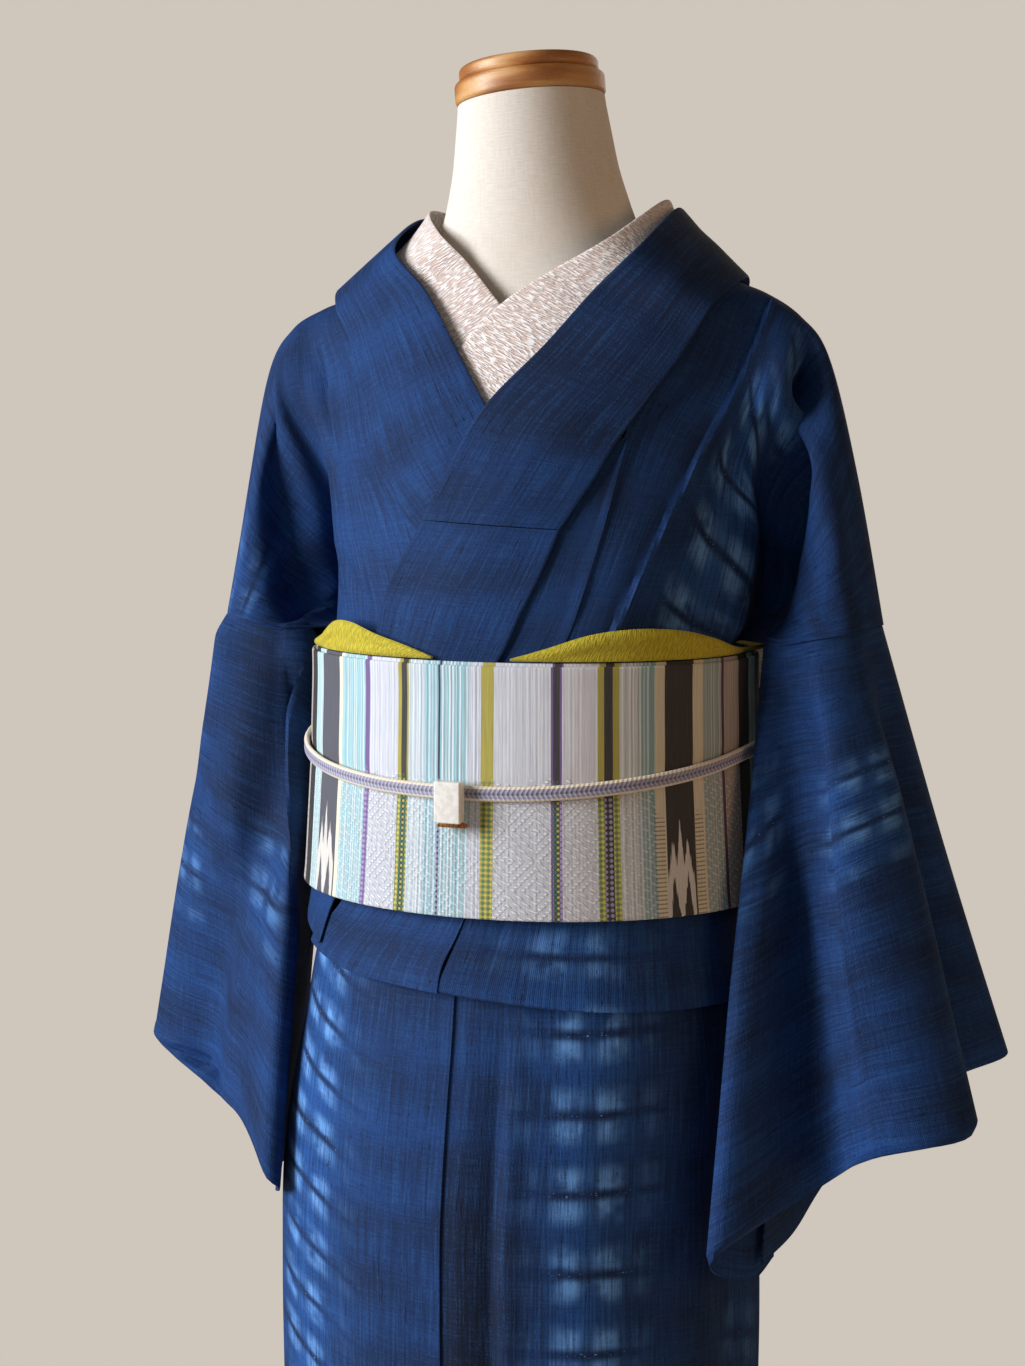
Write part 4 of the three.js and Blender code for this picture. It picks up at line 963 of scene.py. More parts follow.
FRONT_DYE = [(78, 26, 50, 0, 0.92, 0, 990, 26), (196, 20, 57, 0.25, 0.30, 0, 900, 39)]
# Painted shade on the left front: a dark span down the fold beside the okumi's seam, darker towards the hem,
# and one all the way down the side below the left sleeve.
FRONT_SKIRT_SHADE = [(16, 36, 915, 720, 0.9), (160, 34, 1600, 1500, 0.55)]
BACK_DYE = [
    (188, 22, 58, 0.30, 0.55, 0, 900, 41), (302, 27, 51, -0.24, 0.50, 0, 900, 37),
    (-206, 25, 55, 0.22, 0.50, 0, 900, 44), (-318, 22, 48, -0.30, 0.55, 0, 900, 35),
]
SKIRT_ROWS, MEAN_RADIUS = 110, 139.0


def skirt(name, node_name, top, hem, out, columns, material):
    z = np.arange(HEM, SKIRT_TOP + 0.1, (SKIRT_TOP - HEM) / SKIRT_ROWS)[:, None]
    down = (SKIRT_TOP - z) / (SKIRT_TOP - HEM)
    share = np.linspace(0, 1, columns + 1)[None, :]
    low, high = (top[n] + (hem[n] - top[n]) * down for n in (0, 1))
    angle = low + (high - low) * share
    # The okumi's edge is pressed over the front panel's, so the seam shows as a small step.
    seam = {"left_wrap": 0.7 * smoothstep(share, 0.95, 0.99),
            "left_front": -0.8 * smoothstep(share, 0.05, 0.02)}
    out = out[0] + (out[1] - out[0]) * share + seam.get(name, 0)
    grid = on_skirt(angle, np.broadcast_to(z, angle.shape), out)
    arc = np.radians(angle) * MEAN_RADIUS
    uv = np.stack([arc, np.broadcast_to(z, arc.shape)], -1)
    return shell(name + "_panel", grid, CLOTH, node_name, "indigo_tsumugi", material, uv=uv)


dyes = {"left_wrap": indigo("indigo_wrap", WRAP_DYE),
        "left_front": indigo("indigo_front", FRONT_DYE, dark_spans=FRONT_SKIRT_SHADE)}
back_dye = indigo("indigo_back", BACK_DYE)
for name, *rest in SKIRT_PANELS:
    skirt(name, *rest, dyes.get(name, back_dye))

# %% [markdown]
# ## The stripes of the sash
# A sash is warped with its stripes along its length or across it; these stand upright on the wearer,
# so they were woven in from the weft. The table has where each starts, in millimetres from the
# front's middle, its colour and its pinstripe's, and its kind: 0 plain, 1 pinstriped in white,
# 2 lime with a checker, 3 charcoal with ikat, 4 a purple line with dots, 5 pale with raised floats.

# %%
STRIPES = [
    # start, colour, pin colour, kind
    (-134, "#a9d3d4", "#e8efe9", 1), (-122, "#55565e", "#6a6a72", 3), (-98, "#efe9cf", "#cfc58a", 0),
    (-94, "#9fcfd4", "#e3ecea", 1), (-69, "#7d6296", "#7d6296", 4), (-66, "#d6d9e0", "#f0f1f4", 5),
    (-41.5, "#b8ab42", "#a0944a", 2), (-39.5, "#3d3a38", "#54504c", 2), (-35.6, "#b8ab42", "#a0944a", 2),
    (-33.8, "#cfe0e4", "#f2f4f4", 1), (-21.3, "#93c6cf", "#e4eef0", 1), (-12.6, "#3f3046", "#5a4866", 4),
    (-10.5, "#97c9d0", "#eef3f4", 1), (8, "#d7dae2", "#f1f2f5", 1), (15.6, "#b9ac4c", "#a69a3c", 2),
    (23.7, "#d9dbe0", "#f4f4f5", 5), (57.6, "#7a5b93", "#9b80b2", 4), (59.8, "#3a3538", "#55505a", 2),
    (63.2, "#7a5b93", "#9b80b2", 4), (64.5, "#d9d6d8", "#f0edec", 5), (85.8, "#b3a746", "#988e2c", 2),
    (89.7, "#38332f", "#4b4642", 4), (95.2, "#b3a746", "#988e2c", 2), (99.6, "#d3d6d3", "#f0efea", 1),
    (112.2, "#8fb5b3", "#d5e0dc", 1), (121.2, "#e6dcbf", "#c9a552", 0), (128, "#3c3733", "#4a4541", 3),
    (147.9, "#e6dcbf", "#c9a552", 0), (155.6, "#9fb3ab", "#c8cfc6", 1), (172.5, "#5c3550", "#5c3550", 0),
    (174.6, "#b3a59a", "#cabdb2", 1), (190.7, "#2a2624", "#2a2624", 0),
]
REPEAT = 340.0
FIRST = -134.0
# how much of a pinstripe, of dots and of floats a kind has
FIGURES = {0: (0, 0, 0, 1), 1: (1, 0, 0, 1), 2: (0, 1, 0, 1),
           3: (0, 0, 0, 1), 4: (0, 0.5, 0, 1), 5: (0, 0, 1, 1)}


def sash_ground(c, where):
    """The stripes with white pins in them, and how much pin, dots and floats each one has."""
    places = [(start - FIRST) / REPEAT for start, _, _, _ in STRIPES]
    rows = ([linear(color) for _, color, _, _ in STRIPES], [linear(pin) for _, _, pin, _ in STRIPES],
            [FIGURES[kind] for _, _, _, kind in STRIPES])
    main, pins, code = (
        c.add("ValToRGB", stops=("CONSTANT", list(zip(places, row))), i0=where) for row in rows)
    split = c.add("SeparateColor", i0=code).socket.node
    pinned, dotted, floated = (Value(c.tree, split.outputs[n]) for n in range(3))
    wave = c.u.waves(2.3) * 0.5 + 0.5
    uneven = c.add("TexNoise", Vector=(c.u / 1.9, c.v / 400.0, 0.0), Scale=1.0, Detail=1.0)
    pin_share = (wave.step(0.25, 0.75) * uneven.step(0.30, 0.58)) * (pinned * 0.85 + floated * 0.55 + 0.12)
    grey = c.u.waves(4.1).step(0.55, 0.95) * (pinned * 0.45 + floated * 0.22)
    return c.coats(main, (pin_share, pins), (grey, "#8f989c")), wave, pinned, dotted, floated


print(len(STRIPES), "stripes repeat every", REPEAT, "mm")

# %% [markdown]
# ## Ikat in the charcoal stripes
# For ikat the threads are bound and dyed before they are woven. They shift a little on the loom, so
# the pale flames get ragged sides, and dark tongues rise in them. A ladder of thin brown rungs
# stands beside each. The two rows of numbers are the outlines from one side of a stripe to the other.

# %%
FLAMES = (0.3, 0.5, 0.78, 0.5, 1.0, 0.5, 0.78, 0.5, 0.3)
TONGUES = (0, 0.1, 0.62, 0.3, 0, 0.3, 0.62, 0.1, 0)


def sash_ikat(c, color, where, edge, low, high):
    at = where * REPEAT + FIRST
    shift = c.add("TexNoise", Vector=(c.u / 0.45, 0.0, 6.1), Scale=1.0, Detail=0.0)
    fray = c.add("TexNoise", Vector=(c.u / 0.6, c.v / 5.0, 3.3), Scale=1.0, Detail=1.0)
    ragged = shift * 17.0 - 8.5 + (fray * 6.0 - 3.0)
    both = None
    for start, end in ((-122.0, -98.0), (128.0, 147.9)):
        t = ((at - start) / (end - start)).clip()
        flames, tongues = (
            c.add("ValToRGB", stops=("LINEAR", [(n / 8, (h, h, h, 1)) for n, h in enumerate(outline)]), i0=t)
            for outline in (FLAMES, TONGUES))
        inside = t.step(0.005, 0.02) * t.step(0.995, 0.98)
        top = (c.v - (flames * 57.0 + high + 12.0) - ragged).step(1.2, -1.2)
        dark = (c.v - (tongues * 52.0 + high + 4.0) - ragged).step(1.2, -1.2) * tongues.step(0.05, 0.15)
        one = top * (1.0 - dark) * inside
        both = one if both is None else both.math("MAXIMUM", one)
    rungs = c.v.waves(2.6).step(0.35, 0.75) * edge.step(low - 18.0, low - 24.0)
    beside = at.step(120.9, 121.2) * at.step(128.2, 128.0) + at.step(147.9, 148.1) * at.step(155.6, 155.4)
    ladder = rungs * beside.clip() * edge.step(high - 4.0, high + 4.0) * 0.7
    return c.coats(color, (both * 0.92, "#e9e3d8"), (ladder, "#7b6440"))


# %% [markdown]
# ## The woven figures and the sash's ribs
# Extra threads float over the pale stripes in lozenges and over the lime ones in checks, between two
# heights all round the wraps; the drum and its tail are drawn plain. A real sash is plain where it
# goes out of sight, to save silk. The ribs are the thick threads of the ground.

# %%
def sash(name, low, high):
    """The sash cloth, with its figures between two heights."""
    c = Cloth(name)
    where = ((c.u - FIRST) / REPEAT).math("FRACT")
    color, wave, pinned, dotted, floated = sash_ground(c, where)
    edge = c.v + (c.add("TexNoise", Vector=(c.u / 9.0, 0.0, 2.0), Scale=1.0, Detail=1.0) - 0.5) * 26.0
    figured = edge.step(low + 3.0, low - 3.0) * edge.step(high - 4.0, high + 4.0)
    lozenge = c.u.saw(33.0) * 33.0 + c.v.saw(36.0) * 36.0
    dash = (c.v * (2 * math.pi / 2.6) + c.u * 0.9).math("SINE").step(-0.6, 0.1)
    raised = lozenge.waves(6.0).step(-0.1, 0.6) * dash
    weave = figured * (floated + pinned * 0.5).clip()
    floats = raised * weave
    checker = (c.u + c.v).waves(6.6) * (c.u - c.v).waves(6.6)
    limed, lined = dotted.step(0.7, 0.8), dotted.step(0.2, 0.3) * dotted.step(0.8, 0.7)
    dots = checker.step(0.05, 0.25) * figured * limed
    sparks = checker.step(-0.30, -0.5) * figured * limed
    purple = checker.step(0.05, 0.25) * figured * lined
    # Painted shade and highlight: the ground between the raised floats is painted a grey shade darker, and
    # the floats' near white is partly their pale thread and partly painted highlight.
    color = c.coats(color, (weave * (1.0 - raised) * 0.16, "#7f7f88"), (floats * 0.75, "#fffdfa"),
                    (dots * 0.8, "#3f8068"), (sparks * 0.7, "#ddd468"), (purple * 0.6, "#c9b6dc"))
    color = sash_ikat(c, color, where, edge, low, high)
    slub = c.add("TexNoise", Vector=(c.u / 0.8, c.v / 26.0, 0.0), Scale=1.0)
    color = c.coats(color, (slub.step(0.55, 0.3) * 0.16, "#6f6a66"))
    ribs = c.u.waves(0.72) * 0.22 + c.v.waves(0.55) * 0.12
    height = ribs + slub * 0.8 + wave * pinned * 0.5 + floats * 2.6 + dots * 0.9
    return c.finish(color, 0.72, height, 0.28, sheen=0.08)


sash_cloth = sash("striped_sash_cloth", 82.0, -10.0)
plain_sash = sash("striped_sash_plain", -60.0, -90.0)

# %% [markdown]
# ## Two wraps of the sash
# The sash is folded to half its width and wound twice round the waist over a stiffener, so it stands
# like a smooth drum. The braid tied over it presses a shallow groove. The stripes are counted along
# the wrap from the front's middle, so the length round it has to be measured first.

# %%
BRAID_HEIGHTS = np.array([(0, 1046), (20, 1047), (40, 1051), (60, 1057), (80, 1064), (180, 1070)], float)
GROOVE, GROOVE_REACH, EASE = 0.7, 7.0, 0.35


def braid_height(angle):
    return np.interp(np.abs(angle), *BRAID_HEIGHTS.T)


def round_lengths(angles, out):
    """How far along the wrap each angle lies from the front's middle."""
    wide, deep, _ = (float(size) for size in body_at(SKIRT_TOP))
    turn = np.radians(np.linspace(-180, 180, 3601))
    step = np.hypot((wide + out) * np.cos(turn), (deep + out) * np.sin(turn))
    length = np.concatenate([[0], np.cumsum((step[1:] + step[:-1]) / 2 * np.diff(turn))])
    return np.interp(angles, np.degrees(turn), length - np.interp(0, turn, length))


def wrap(name, node_name, low, high, out):
    angle = np.linspace(-180, 180, 361)[:-1]
    rim = np.array([0, 0.4, 1.2])
    z = np.concatenate([low + rim, np.linspace(low + 4, high - 4, 26), high - rim[::-1]])
    press = -GROOVE * np.exp(-(((z[:, None] - braid_height(angle)[None, :]) / GROOVE_REACH) ** 2))
    ease = EASE * np.sin(np.radians(angle * 5 + 20))[None, :] * np.sin((z[:, None] - low) / 48.0)
    grid = skin(*np.broadcast_arrays(angle[None, :], z[:, None]), out + press + ease)
    uv = np.stack(np.meshgrid(round_lengths(angle, out), z - OBI_BOTTOM), -1)
    rounded_off = np.clip(np.minimum(z - low, high - z) / rim[-1], 0, 1)
    thick = OBI * np.sqrt(np.clip(1 - (1 - rounded_off) ** 2, 0.05, 1))
    return shell(name, grid, thick[:, None, None], node_name, "striped_sash", sash_cloth, ring=True, uv=uv)


wrap("sash_under", "obi_inner_wrap", OBI_BOTTOM + 4, OBI_TOP + 2, SASH_UNDER)
wrap("sash_over", "obi_outer_wrap", OBI_BOTTOM, OBI_TOP, SASH_OVER)

# %% [markdown]
# ## The drum and its tail
# At the back the sash is opened to its full width and looped over a pad into the drum, the usual knot
# for such a kimono. The tail is folded up inside it and looks out below. Their outlines, seen from the
# side, are distances behind the body's middle and heights.

# %%
DRUM_LOOP = [
    (131, 1100), (134, 1140), (150, 1168), (176, 1164), (196, 1130), (206, 1060), (204, 990), (190, 952),
    (168, 948), (157, 970), (154.4, 1030),
]
TAIL = [(152, 1034), (152, 960), (154, 920), (156, 878)]


def across_back(name, node_name, profile, half, steps, creases=()):
    line = curve(np.array(profile, float), steps)
    share = np.linspace(-1, 1, 73)
    size = (len(line), len(share))
    grid = np.stack([np.broadcast_to(share * half, size), line[:, :1] - 3 * share**2,
                     np.broadcast_to(line[:, 1:], size)], -1)
    for middle, height, reach in creases:
        bend = np.exp(-(((grid[..., 2] - height) / reach) ** 2))
        bend = bend * np.exp(-(((share[None, :] - middle) / 0.5) ** 2))
        grid[..., 1] += bend * np.where(grid[..., 1] > 180, 1.6, 0.0)
    _, v = lengths(grid)
    grid, wall = soft_edges(grid, OBI, 1.2)
    u, _ = lengths(grid)
    uv = np.stack(np.meshgrid(u, v), -1)[..., ::-1]  # the stripes lie level here
    return shell(name, grid, wall, node_name, "striped_sash", plain_sash, uv=uv)


across_back("sash_drum", "obi_drum", DRUM_LOOP, 148, 10, ((-0.4, 1120, 16.0), (0.5, 1010, 20.0)))
across_back("sash_tail", "obi_tail", TAIL, 146, 12)

# %% [markdown]
# ## The scarf
# A soft crepe scarf hides the pad of the drum. It is rolled, tucked behind the sash's upper edge and
# knotted in front, so it swells on both sides of the middle and thins out between. Each row has a
# place, as an angle on the body or a point in plan, the lower edge and how tall the roll is.

# %%
SCARF = [
    # angle on the body or point in plan, lower edge, height
    (-7, 1125, 1.5), (-14, 1125, 7), (-24, 1125, 13), (-34, 1125, 19), (-43, 1125, 18), (-52, 1125, 9),
    (-66, 1125, 3), (-90, 1125, 3), ((-152, 66), 1125, 3), ((-154, 112), 1128, 6),
    ((-150, 150), 1134, 14), ((-100, 159), 1134, 18), ((0, 160), 1134, 18), ((100, 159), 1134, 18),
    ((150, 150), 1134, 14), ((154, 112), 1128, 6), ((152, 66), 1125, 3), (92, 1125, 3), (80, 1125, 5),
    (70, 1125, 11), (58, 1125, 17), (45, 1125, 19), (33, 1125, 16), (22, 1125, 8), (13, 1125, 1.5),
]
SCARF_OUT, SCARF_WALL = SASH_UNDER + 0.5, 2.8

share = np.linspace(0, 1, 15)
rows = [[skin(at, low + s * tall, SCARF_OUT) if not isinstance(at, tuple) else (*at, low + s * tall)
         for at, low, tall in SCARF] for s in share]
grid = np.stack([curve(np.array(row, float), 10) for row in rows])
facing = normals(grid)
along = np.linspace(0, 1, grid.shape[1])
tall = curve(np.array([[row[2], 0] for row in SCARF], float), 10)[:, 0]
fold = 0.9 * np.sin(share[:, None] * 8 + 9 * along[None, :]) * smoothstep(tall, 6, 16)[None, :]
swell = 1.2 * np.sin(np.pi * share)[:, None] * smoothstep(tall, 2, 12)[None, :]
outward = np.sign((facing * (grid * np.array([1, 1, 0]))).sum(2).mean())
grid = grid + facing * ((fold + swell) * outward)[..., None]
thick = SCARF_WALL * np.sqrt(np.clip(1 - (2 * share - 1) ** 2 * 0.92, 0.05, 1))[:, None, None]
# The scarf's darker colour is painted shade in the hollows of its crepe and its lighter one painted
# highlight on the ridges.
lime = crepe("lime_crepe_cloth", "#ab9a14", "#c9b826", 1.0, 0.3, 0.6)
shell("scarf", grid, thick, "obiage", "lime_crepe", lime)

# %% [markdown]
# ## Braided silk
# The braid is plaited flat on a stand from weighted bobbins: grey-lavender strands in the middle, whose
# plaits make chevrons, and a raised cream edge on each side.

# %%
BRAID_WIDE, BRAID_THICK = 9.0, 3.4


def braid_material(name, tall):
    c = Cloth(name)
    across = (c.v / tall - 0.5).math("ABSOLUTE")  # 0 in the middle of the face, 0.5 at its edges
    chevron = (c.u * (2 * math.pi / 2.9) + across * 12.0).math("SINE")
    edge, line = across.step(0.30, 0.34), across.step(0.10, 0.05)
    color = c.coats(linear("#918ea6"), (edge, "#ecdcc0"), (line * 0.75, "#56546c"),
                    (chevron.step(0.2, 0.9) * 0.35, "#f6f1ea"))
    strands = c.add("TexNoise", Vector=(c.u / 0.4, c.v / 0.4, 0.0), Scale=1.0, Detail=1.0)
    return c.finish(color, 0.6, chevron * 0.35 + edge * 0.9 + strands * 0.4, 0.3, sheen=0.15)


# %% [markdown]
# ## The braid round the sash
# It is tied last and holds the drum's tail, so it goes round the sash tightly, over the drum's sides
# and through its loop. Its line runs from the front's middle to the back's; the other half mirrors it.

# %%
BRAID_LINE = [
    (0, 1046), (20, 1047), (40, 1051), (60, 1057), (80, 1064), (155, 40, 1070), (157, 100, 1074),
    (158, 165, 1076), (152, 203, 1077), (120, 212, 1077), (60, 213, 1077), (0, 213, 1077),
]
BRAID_OUT = SASH_OVER + 1 + 3 * SEAM + 1.8

left = np.array([row if len(row) == 3 else skin(row[0], row[1], BRAID_OUT) for row in BRAID_LINE], float)
right = left[1:] * np.array([-1, 1, 1])
line = curve(np.concatenate([left[::-1], right]), 14)[:-1]
share = np.linspace(-0.5, 0.5, 13)
grid = np.stack([line + np.array([0, 0, s * BRAID_WIDE]) for s in share])
flat = np.sqrt(np.clip(1 - (np.abs(share) * 2) ** 4, 0.08, 1)) * (1 - 0.12 * np.cos(share * 4 * np.pi))
u = np.concatenate([[0], np.cumsum(np.linalg.norm(np.diff(line, axis=0), axis=1))])
uv = np.stack(np.meshgrid(u, (share + 0.5) * BRAID_WIDE), -1)
shell("flat_braid", grid, (BRAID_THICK * flat)[:, None, None], "obijime", "flat_braid",
      braid_material("braided_silk", BRAID_WIDE), ring=True, uv=uv)
print("braid", round(u[-1]), "mm round the sash")

# %% [markdown]
# ## Ceramic, copper and steel
# The ornament is a small tile with a soft mottle under its glaze. Polished copper and satin steel are
# bare metals, so their own colour is in what they mirror, and fine scratches that run one way blur it.

# %%
def ceramic(name):
    c = Cloth(name)
    mottle = c.add("TexNoise", Vector=c.place, Scale=240.0, Detail=3.0)
    flow = c.add("TexNoise", Vector=c.place, Scale=90.0, Detail=1.0)
    color = c.coats(linear("#e9e2d4"), (mottle.step(0.35, 0.7), "#f9f5ec"))
    return c.finish(color, mottle * 0.15 + 0.22, flow, 0.25, Coat_Weight=0.5, Coat_Roughness=0.12)


def metal(name, shade, light, roughness, scratch):
    c = Cloth(name)
    stretched = c.add("Mapping", Vector=c.place, Scale=scratch)
    lines = c.add("TexNoise", Vector=stretched, Scale=1.0, Detail=4.0)
    color = c.coats(linear(shade), (lines.step(0.3, 0.7), light))
    return c.finish(color, lines * 0.2 + roughness, lines, 0.03, Metallic=1.0)


# %% [markdown]
# ## The ornament
# The tile is threaded on the braid by a loop behind it, and the copper bar is set in below. Both are
# blocks with their edges taken off, in the room of their solids.

# %%
def block(name, node_name, slot, material, bevel):
    low, high = (np.array(corner, float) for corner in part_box(node_name))
    mesh = bmesh.new()
    bmesh.ops.create_cube(mesh, size=1.0)
    for vertex in mesh.verts:
        vertex.co = [float(low[n] + (high[n] - low[n]) * (vertex.co[n] + 0.5)) for n in range(3)]
    bmesh.ops.bevel(mesh, geom=mesh.edges[:], offset=bevel * 0.001, segments=4, profile=0.6, affect="EDGES")
    points = np.array([vertex.co[:] for vertex in mesh.verts]) * 1000
    faces = [[vertex.index for vertex in face.verts] for face in mesh.faces]
    mesh.free()
    obj = mesh_object(name, points, faces, points[:, [0, 2]] * 0.001, sharp=40)
    return finish_piece(obj, node_name, slot, material)


copper = metal("polished_copper", "#b8733a", "#e0a468", 0.18, (900, 300, 300))
block("ornament", "obidome", "ivory_ceramic", ceramic("glazed_ceramic"), 1.1)
block("ornament_bar", "obidome_bar", "copper", copper, 0.5)

# %% [markdown]
# ## Linen and oak
# The form is covered with plain linen, stretched until it has no folds: an even weave with slubs both
# ways. The cap is oak, turned and waxed, with long open pores along the grain.

# %%
OAK = ("LINEAR", [(0.0, linear("#8f5524")), (0.35, linear("#b5763a")), (0.65, linear("#cd9657")),
                  (1.0, linear("#e0b078"))])


def linen(name):
    c = Cloth(name)
    weave = c.u.waves(0.8) * c.v.waves(0.8)
    slubs = (c.add("TexNoise", Vector=(c.u / 14.0, c.v / 0.7, 0.0), Scale=1.0) * 0.6
             + c.add("TexNoise", Vector=(c.u / 0.7, c.v / 14.0, 6.0), Scale=1.0) * 0.6)
    cloud = c.add("TexNoise", Vector=c.place, Scale=9.0)
    color = c.coats(linear("#ddd1bf"), (slubs.step(0.35, 0.85), "#f1e8da"),
                    (cloud.step(0.3, 0.8) * 0.3, "#e2d4bd"))
    return c.finish(color, 0.88, weave * 0.35 + slubs, 0.08, sheen=0.05)


def oak(name):
    c = Cloth(name)
    turned = c.add("Mapping", Vector=c.place, Scale=(14.0, 14.0, 160.0), Rotation=(0.3, 1.45, 0.1))
    rings = c.add("TexWave", {"wave_type": "BANDS", "bands_direction": "Z"}, 1, Vector=turned,
                  Scale=0.35, Distortion=5.0, Detail=3.0, Detail_Scale=1.2)
    stretched = c.add("Mapping", Vector=c.place, Scale=(22.0, 300.0, 700.0))
    pores = c.add("TexNoise", Vector=stretched, Scale=2.0, Detail=4.0)
    color = c.add("ValToRGB", stops=OAK, i0=rings * 0.7 + pores * 0.3)
    return c.finish(color, pores * 0.2 + 0.36, pores.step(0.35, 0.6), 0.10,
                    Coat_Weight=0.25, Coat_Roughness=0.3)


# %% [markdown]
# ## The dress form
# Padded bust and hips, a straight neck that leans a little, and no arms. The table has heights, half
# width, half depth and the middle of the depth. Its lowest edge is rounded where the linen is nailed
# under the base board.

# %%
FORM = np.array([
    (694, 96, 72, 0), (696, 112, 84, 0), (700, 128, 96, 0), (712, 138, 108, 0), (776, 143, 114, 0),
    (860, 141, 111, 0), (916, 138, 109, 0), (970, 132.4, 106.4, 0), (1046, 127.4, 102.4, 0),
    (1112, 123, 98, 0), (1160, 124, 100, 0), (1210, 126, 96, 4), (1240, 130, 90, 8), (1265, 138, 84, 11),
    (1290, 146, 75, 14), (1310, 144, 68, 15), (1328, 128, 61, 15), (1345, 104, 58, 14),
    (1365, 78, 57, 14), (1395, 62, 56, 11), (1425, 53, 51, 4), (1468, 46, 46, -4),
], float)
NECK, BOARD, TILT = 1468, 712, 5  # the neck's top, the board's upper edge, and the top's slope in degrees
FORM_Z, FORM_COLUMNS = softened(FORM, 5.0)


def closed(rows, around):
    """The faces of rings of points, closed at both ends by the last two points."""
    j = np.arange(around)
    k = (j + 1) % around
    faces = [(i * around + a, i * around + b, (i + 1) * around + b, (i + 1) * around + a)
             for i in range(rows - 1) for a, b in zip(j.tolist(), k.tolist())]
    low, top = rows * around, (rows - 1) * around
    for a, b in zip(j.tolist(), k.tolist()):
        faces += [(low, b, a), (low + 1, top + a, top + b)]
    return faces


z = np.concatenate([[694, 694.6, 696, 698.5, 702, 707], np.arange(BOARD, NECK, 6.0), [NECK]])
wide, deep, back = (
    np.where(z < BOARD, np.interp(z, FORM[:, 0], FORM[:, n]), np.interp(z, FORM_Z, FORM_COLUMNS[n - 1]))
    for n in (1, 2, 3))
turn = np.linspace(0, 2 * np.pi, 120, endpoint=False)
slope = smoothstep(z, 1380, NECK)[:, None] * math.tan(math.radians(TILT)) * wide[:, None] * np.sin(turn)
grid = np.stack([wide[:, None] * np.sin(turn), back[:, None] - deep[:, None] * np.cos(turn),
                 z[:, None] + slope], -1)
points = np.concatenate([grid.reshape(-1, 3), [[0, 0, z[0]], [0, -4, NECK]]])
u = np.broadcast_to(np.minimum(turn, 2 * np.pi - turn) * 110, grid.shape[:2])
v = np.broadcast_to(z[:, None], u.shape)
uvs = np.concatenate([np.stack([u, v], -1).reshape(-1, 2), [[0, 0], [0, 0]]]) * 0.001
form = mesh_object("form", points, closed(*grid.shape[:2]), uvs, sharp=60)
finish_piece(form, "form_body", "linen", linen("stretched_linen"))

# %% [markdown]
# ## The turned cap and the stand
# These are turned on a lathe: a profile of radius and height goes round an axis. The cap is two discs
# with rounded edges that follow the neck's slope, and the foot is a heavy steel plate.

# %%
def lathe(name, profile, node_name, slot, material, around=96, tilt=0.0, at=(0, 0, 0)):
    turn = np.linspace(0, 2 * np.pi, around, endpoint=False)
    rings = [np.stack([r * np.cos(turn), r * np.sin(turn), np.full(around, z)], -1) for r, z in profile]
    points = np.concatenate(rings + [np.array([[0, 0, profile[0][1]], [0, 0, profile[-1][1]]], float)])
    cosine, sine = math.cos(math.radians(tilt)), math.sin(math.radians(tilt))
    lean = np.array([[cosine, 0, sine], [0, 1, 0], [-sine, 0, cosine]])
    placed = points @ lean.T + np.array(at, float)
    obj = mesh_object(name, placed, closed(len(profile), around), points[:, :2] * 0.001, sharp=60)
    return finish_piece(obj, node_name, slot, material)


def rounded(radius, height, edge, lift=0.0):
    turn = np.linspace(0, np.pi / 2, 6)
    low = [(radius - edge + edge * math.sin(t), edge - edge * math.cos(t)) for t in turn]
    high = [(radius - edge + edge * math.cos(t), height - edge + edge * math.sin(t)) for t in turn]
    return [(r, z + lift) for r, z in low + high]


cap_wood, satin = oak("turned_oak"), metal("satin_steel", "#a2a2a2", "#c4c4c4", 0.38, (60, 60, 900))
cap = {"tilt": -TILT, "at": (0, -4, NECK + SEAM)}
lathe("cap_ring", rounded(47.5, 14, 3.0), "form_cap_ring", "turned_wood", cap_wood, **cap)
lathe("cap_disc", rounded(44, 9, 3.0, 14.05), "form_cap_disc", "turned_wood", cap_wood, **cap)
lathe("foot", rounded(165, 16, 5.0), "form_base", "steel", satin)
lathe("post", [(14, 16), (14, 694)], "form_pole", "steel", satin, around=64)

# %% [markdown]
# ## What each sheet was cut to
# Every piece of cloth is declared with the cut of what shows, how it is held and what it rests on. The
# print compares its modelled area with that cut: a little more where it bends, less where it overlaps.

# %%
SHEETS = {
    # piece: cut width and length in metres, how it is held, what it rests on
    "left_body": (0.22, 0.92, "draped", "form"), "right_body": (0.22, 0.92, "draped", "form"),
    "left_overlap": (0.08, 0.34, "draped", "left_body"),
    "left_upper_collar": (0.075, 0.34, "draped", "left_body"),
    "left_lower_collar": (0.08, 0.34, "draped", "left_overlap"),
    "right_whole_collar": (0.075, 0.46, "draped", "right_body"),
    "left_pale_band": (0.04, 0.32, "draped", "form"), "right_pale_band": (0.04, 0.32, "draped", "form"),
    "left_hanging_sleeve": (0.60, 0.25, "hung", "left_body"),
    "right_hanging_sleeve": (0.60, 0.25, "hung", "right_body"),
    "left_front_panel": (0.22, 1.01, "hung", "form"),
    "left_wrap_panel": (0.15, 1.01, "hung", "right_front_panel"),
    "right_front_panel": (0.28, 1.01, "hung", "form"), "right_wrap_panel": (0.13, 1.01, "hung", "form"),
    "left_back_panel": (0.21, 1.01, "hung", "form"), "right_back_panel": (0.21, 1.01, "hung", "form"),
    "sash_under": (0.15, 0.85, "stretched", "left_body"),
    "sash_over": (0.152, 0.87, "stretched", "sash_under"),
    "sash_drum": (0.30, 0.50, "folded", "sash_over"), "sash_tail": (0.29, 0.156, "hung", "sash_drum"),
    "scarf": (0.015, 1.05, "gathered", "sash_under"), "flat_braid": (0.012, 1.0, "stretched", "sash_over"),
}
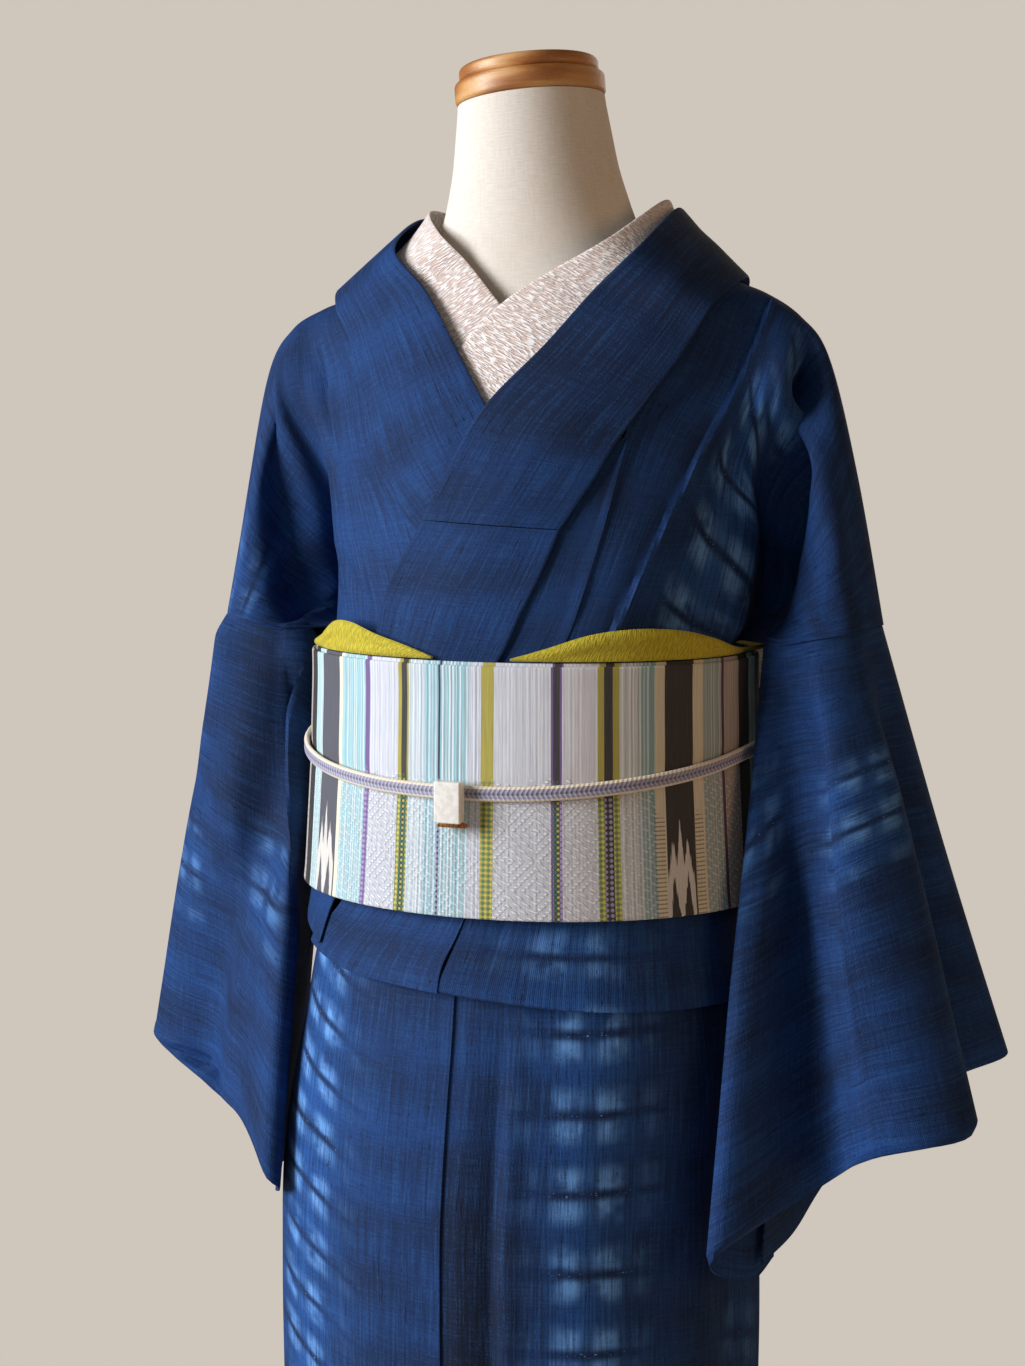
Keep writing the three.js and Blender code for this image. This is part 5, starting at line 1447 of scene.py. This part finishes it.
for name, (width, length, held, rests_on) in SHEETS.items():
    cloth_area = sum(face.area for face in PIECES[name].data.polygons) / 2
    print(name, "area", round(cloth_area, 4), "m2,", round(cloth_area / (width * length), 2), "of its cut")

# %% [markdown]
# ## The floor
# A plain pale floor, wide enough for the form's soft shadow.

# %%
FLOOR_RADIUS, FLOOR_SIDES = 1.3, 128
turns = np.linspace(0, 2 * np.pi, FLOOR_SIDES + 1)[:-1]
rim = [(FLOOR_RADIUS * math.cos(turn), FLOOR_RADIUS * math.sin(turn), 0.0) for turn in turns]
floor_mesh = bpy.data.meshes.new("floor")
floor_mesh.from_pydata(rim, [], [list(range(FLOOR_SIDES))])
floor = bpy.data.objects.new("floor", floor_mesh)
bpy.context.scene.collection.objects.link(floor)
floor_mesh.materials.append(Cloth("pale_floor").finish(linear("#d9d3cb"), 0.7))
print("floor", 2 * FLOOR_RADIUS, "m across")

# %% [markdown]
# ## Light
# Indigo needs daylight to show its depth. A tall window stands to the viewer's left, and its light
# comes back warm and weak from the room on the right. A faint light behind lifts the outline.

# %%
def area_light(name, place, target, size, power, tint):
    data = bpy.data.lights.new(name, "AREA")
    data.shape, data.size, data.size_y = "RECTANGLE", size[0], size[1]
    data.energy, data.color = power, linear(tint)[:3]
    light = bpy.data.objects.new(name, data)
    light.location = place
    gaze = np.array(target, float) - np.array(place, float)
    tilt = math.atan2(math.hypot(gaze[0], gaze[1]), -gaze[2])
    light.rotation_euler = (tilt, 0, math.atan2(-gaze[0], gaze[1]))
    bpy.context.scene.collection.objects.link(light)
    print(name, power, "W")


area_light("window", (-1.95, -1.6, 1.75), (0, 0, 1.1), (1.1, 1.6), 108.0, "#f3f6ff")
area_light("front_fill", (0.5, -2.6, 1.9), (0, 0, 1.0), (1.8, 1.4), 4.0, "#ffffff")
area_light("warm_answer", (2.4, -0.6, 1.3), (0, 0, 1.0), (1.4, 1.6), 11.0, "#ffc890")
area_light("back_glow", (0.3, 2.4, 2.0), (0, 0, 1.1), (2.0, 1.2), 9.0, "#fff2e4")

# %% [markdown]
# ## Air
# The room's own light is weak and even. The wall behind is only seen and gives no light.

# %%
ROOM_LIGHT = 0.11
world = bpy.data.worlds.new("air")
bpy.context.scene.world = world
world.use_nodes = True
air = world.node_tree
air.nodes.clear()
room = add(air, "Background", Color=linear("#dcd6d0"), Strength=ROOM_LIGHT)
wall = add(air, "Background", Color=linear("#cfc6bc"), Strength=1.0)
seen = add(air, "LightPath", out="Is Camera Ray")
add(air, "OutputWorld", Surface=add(air, "MixShader", i0=seen, i1=room, i2=wall))
print("room light", ROOM_LIGHT, "with", len(air.nodes), "nodes")
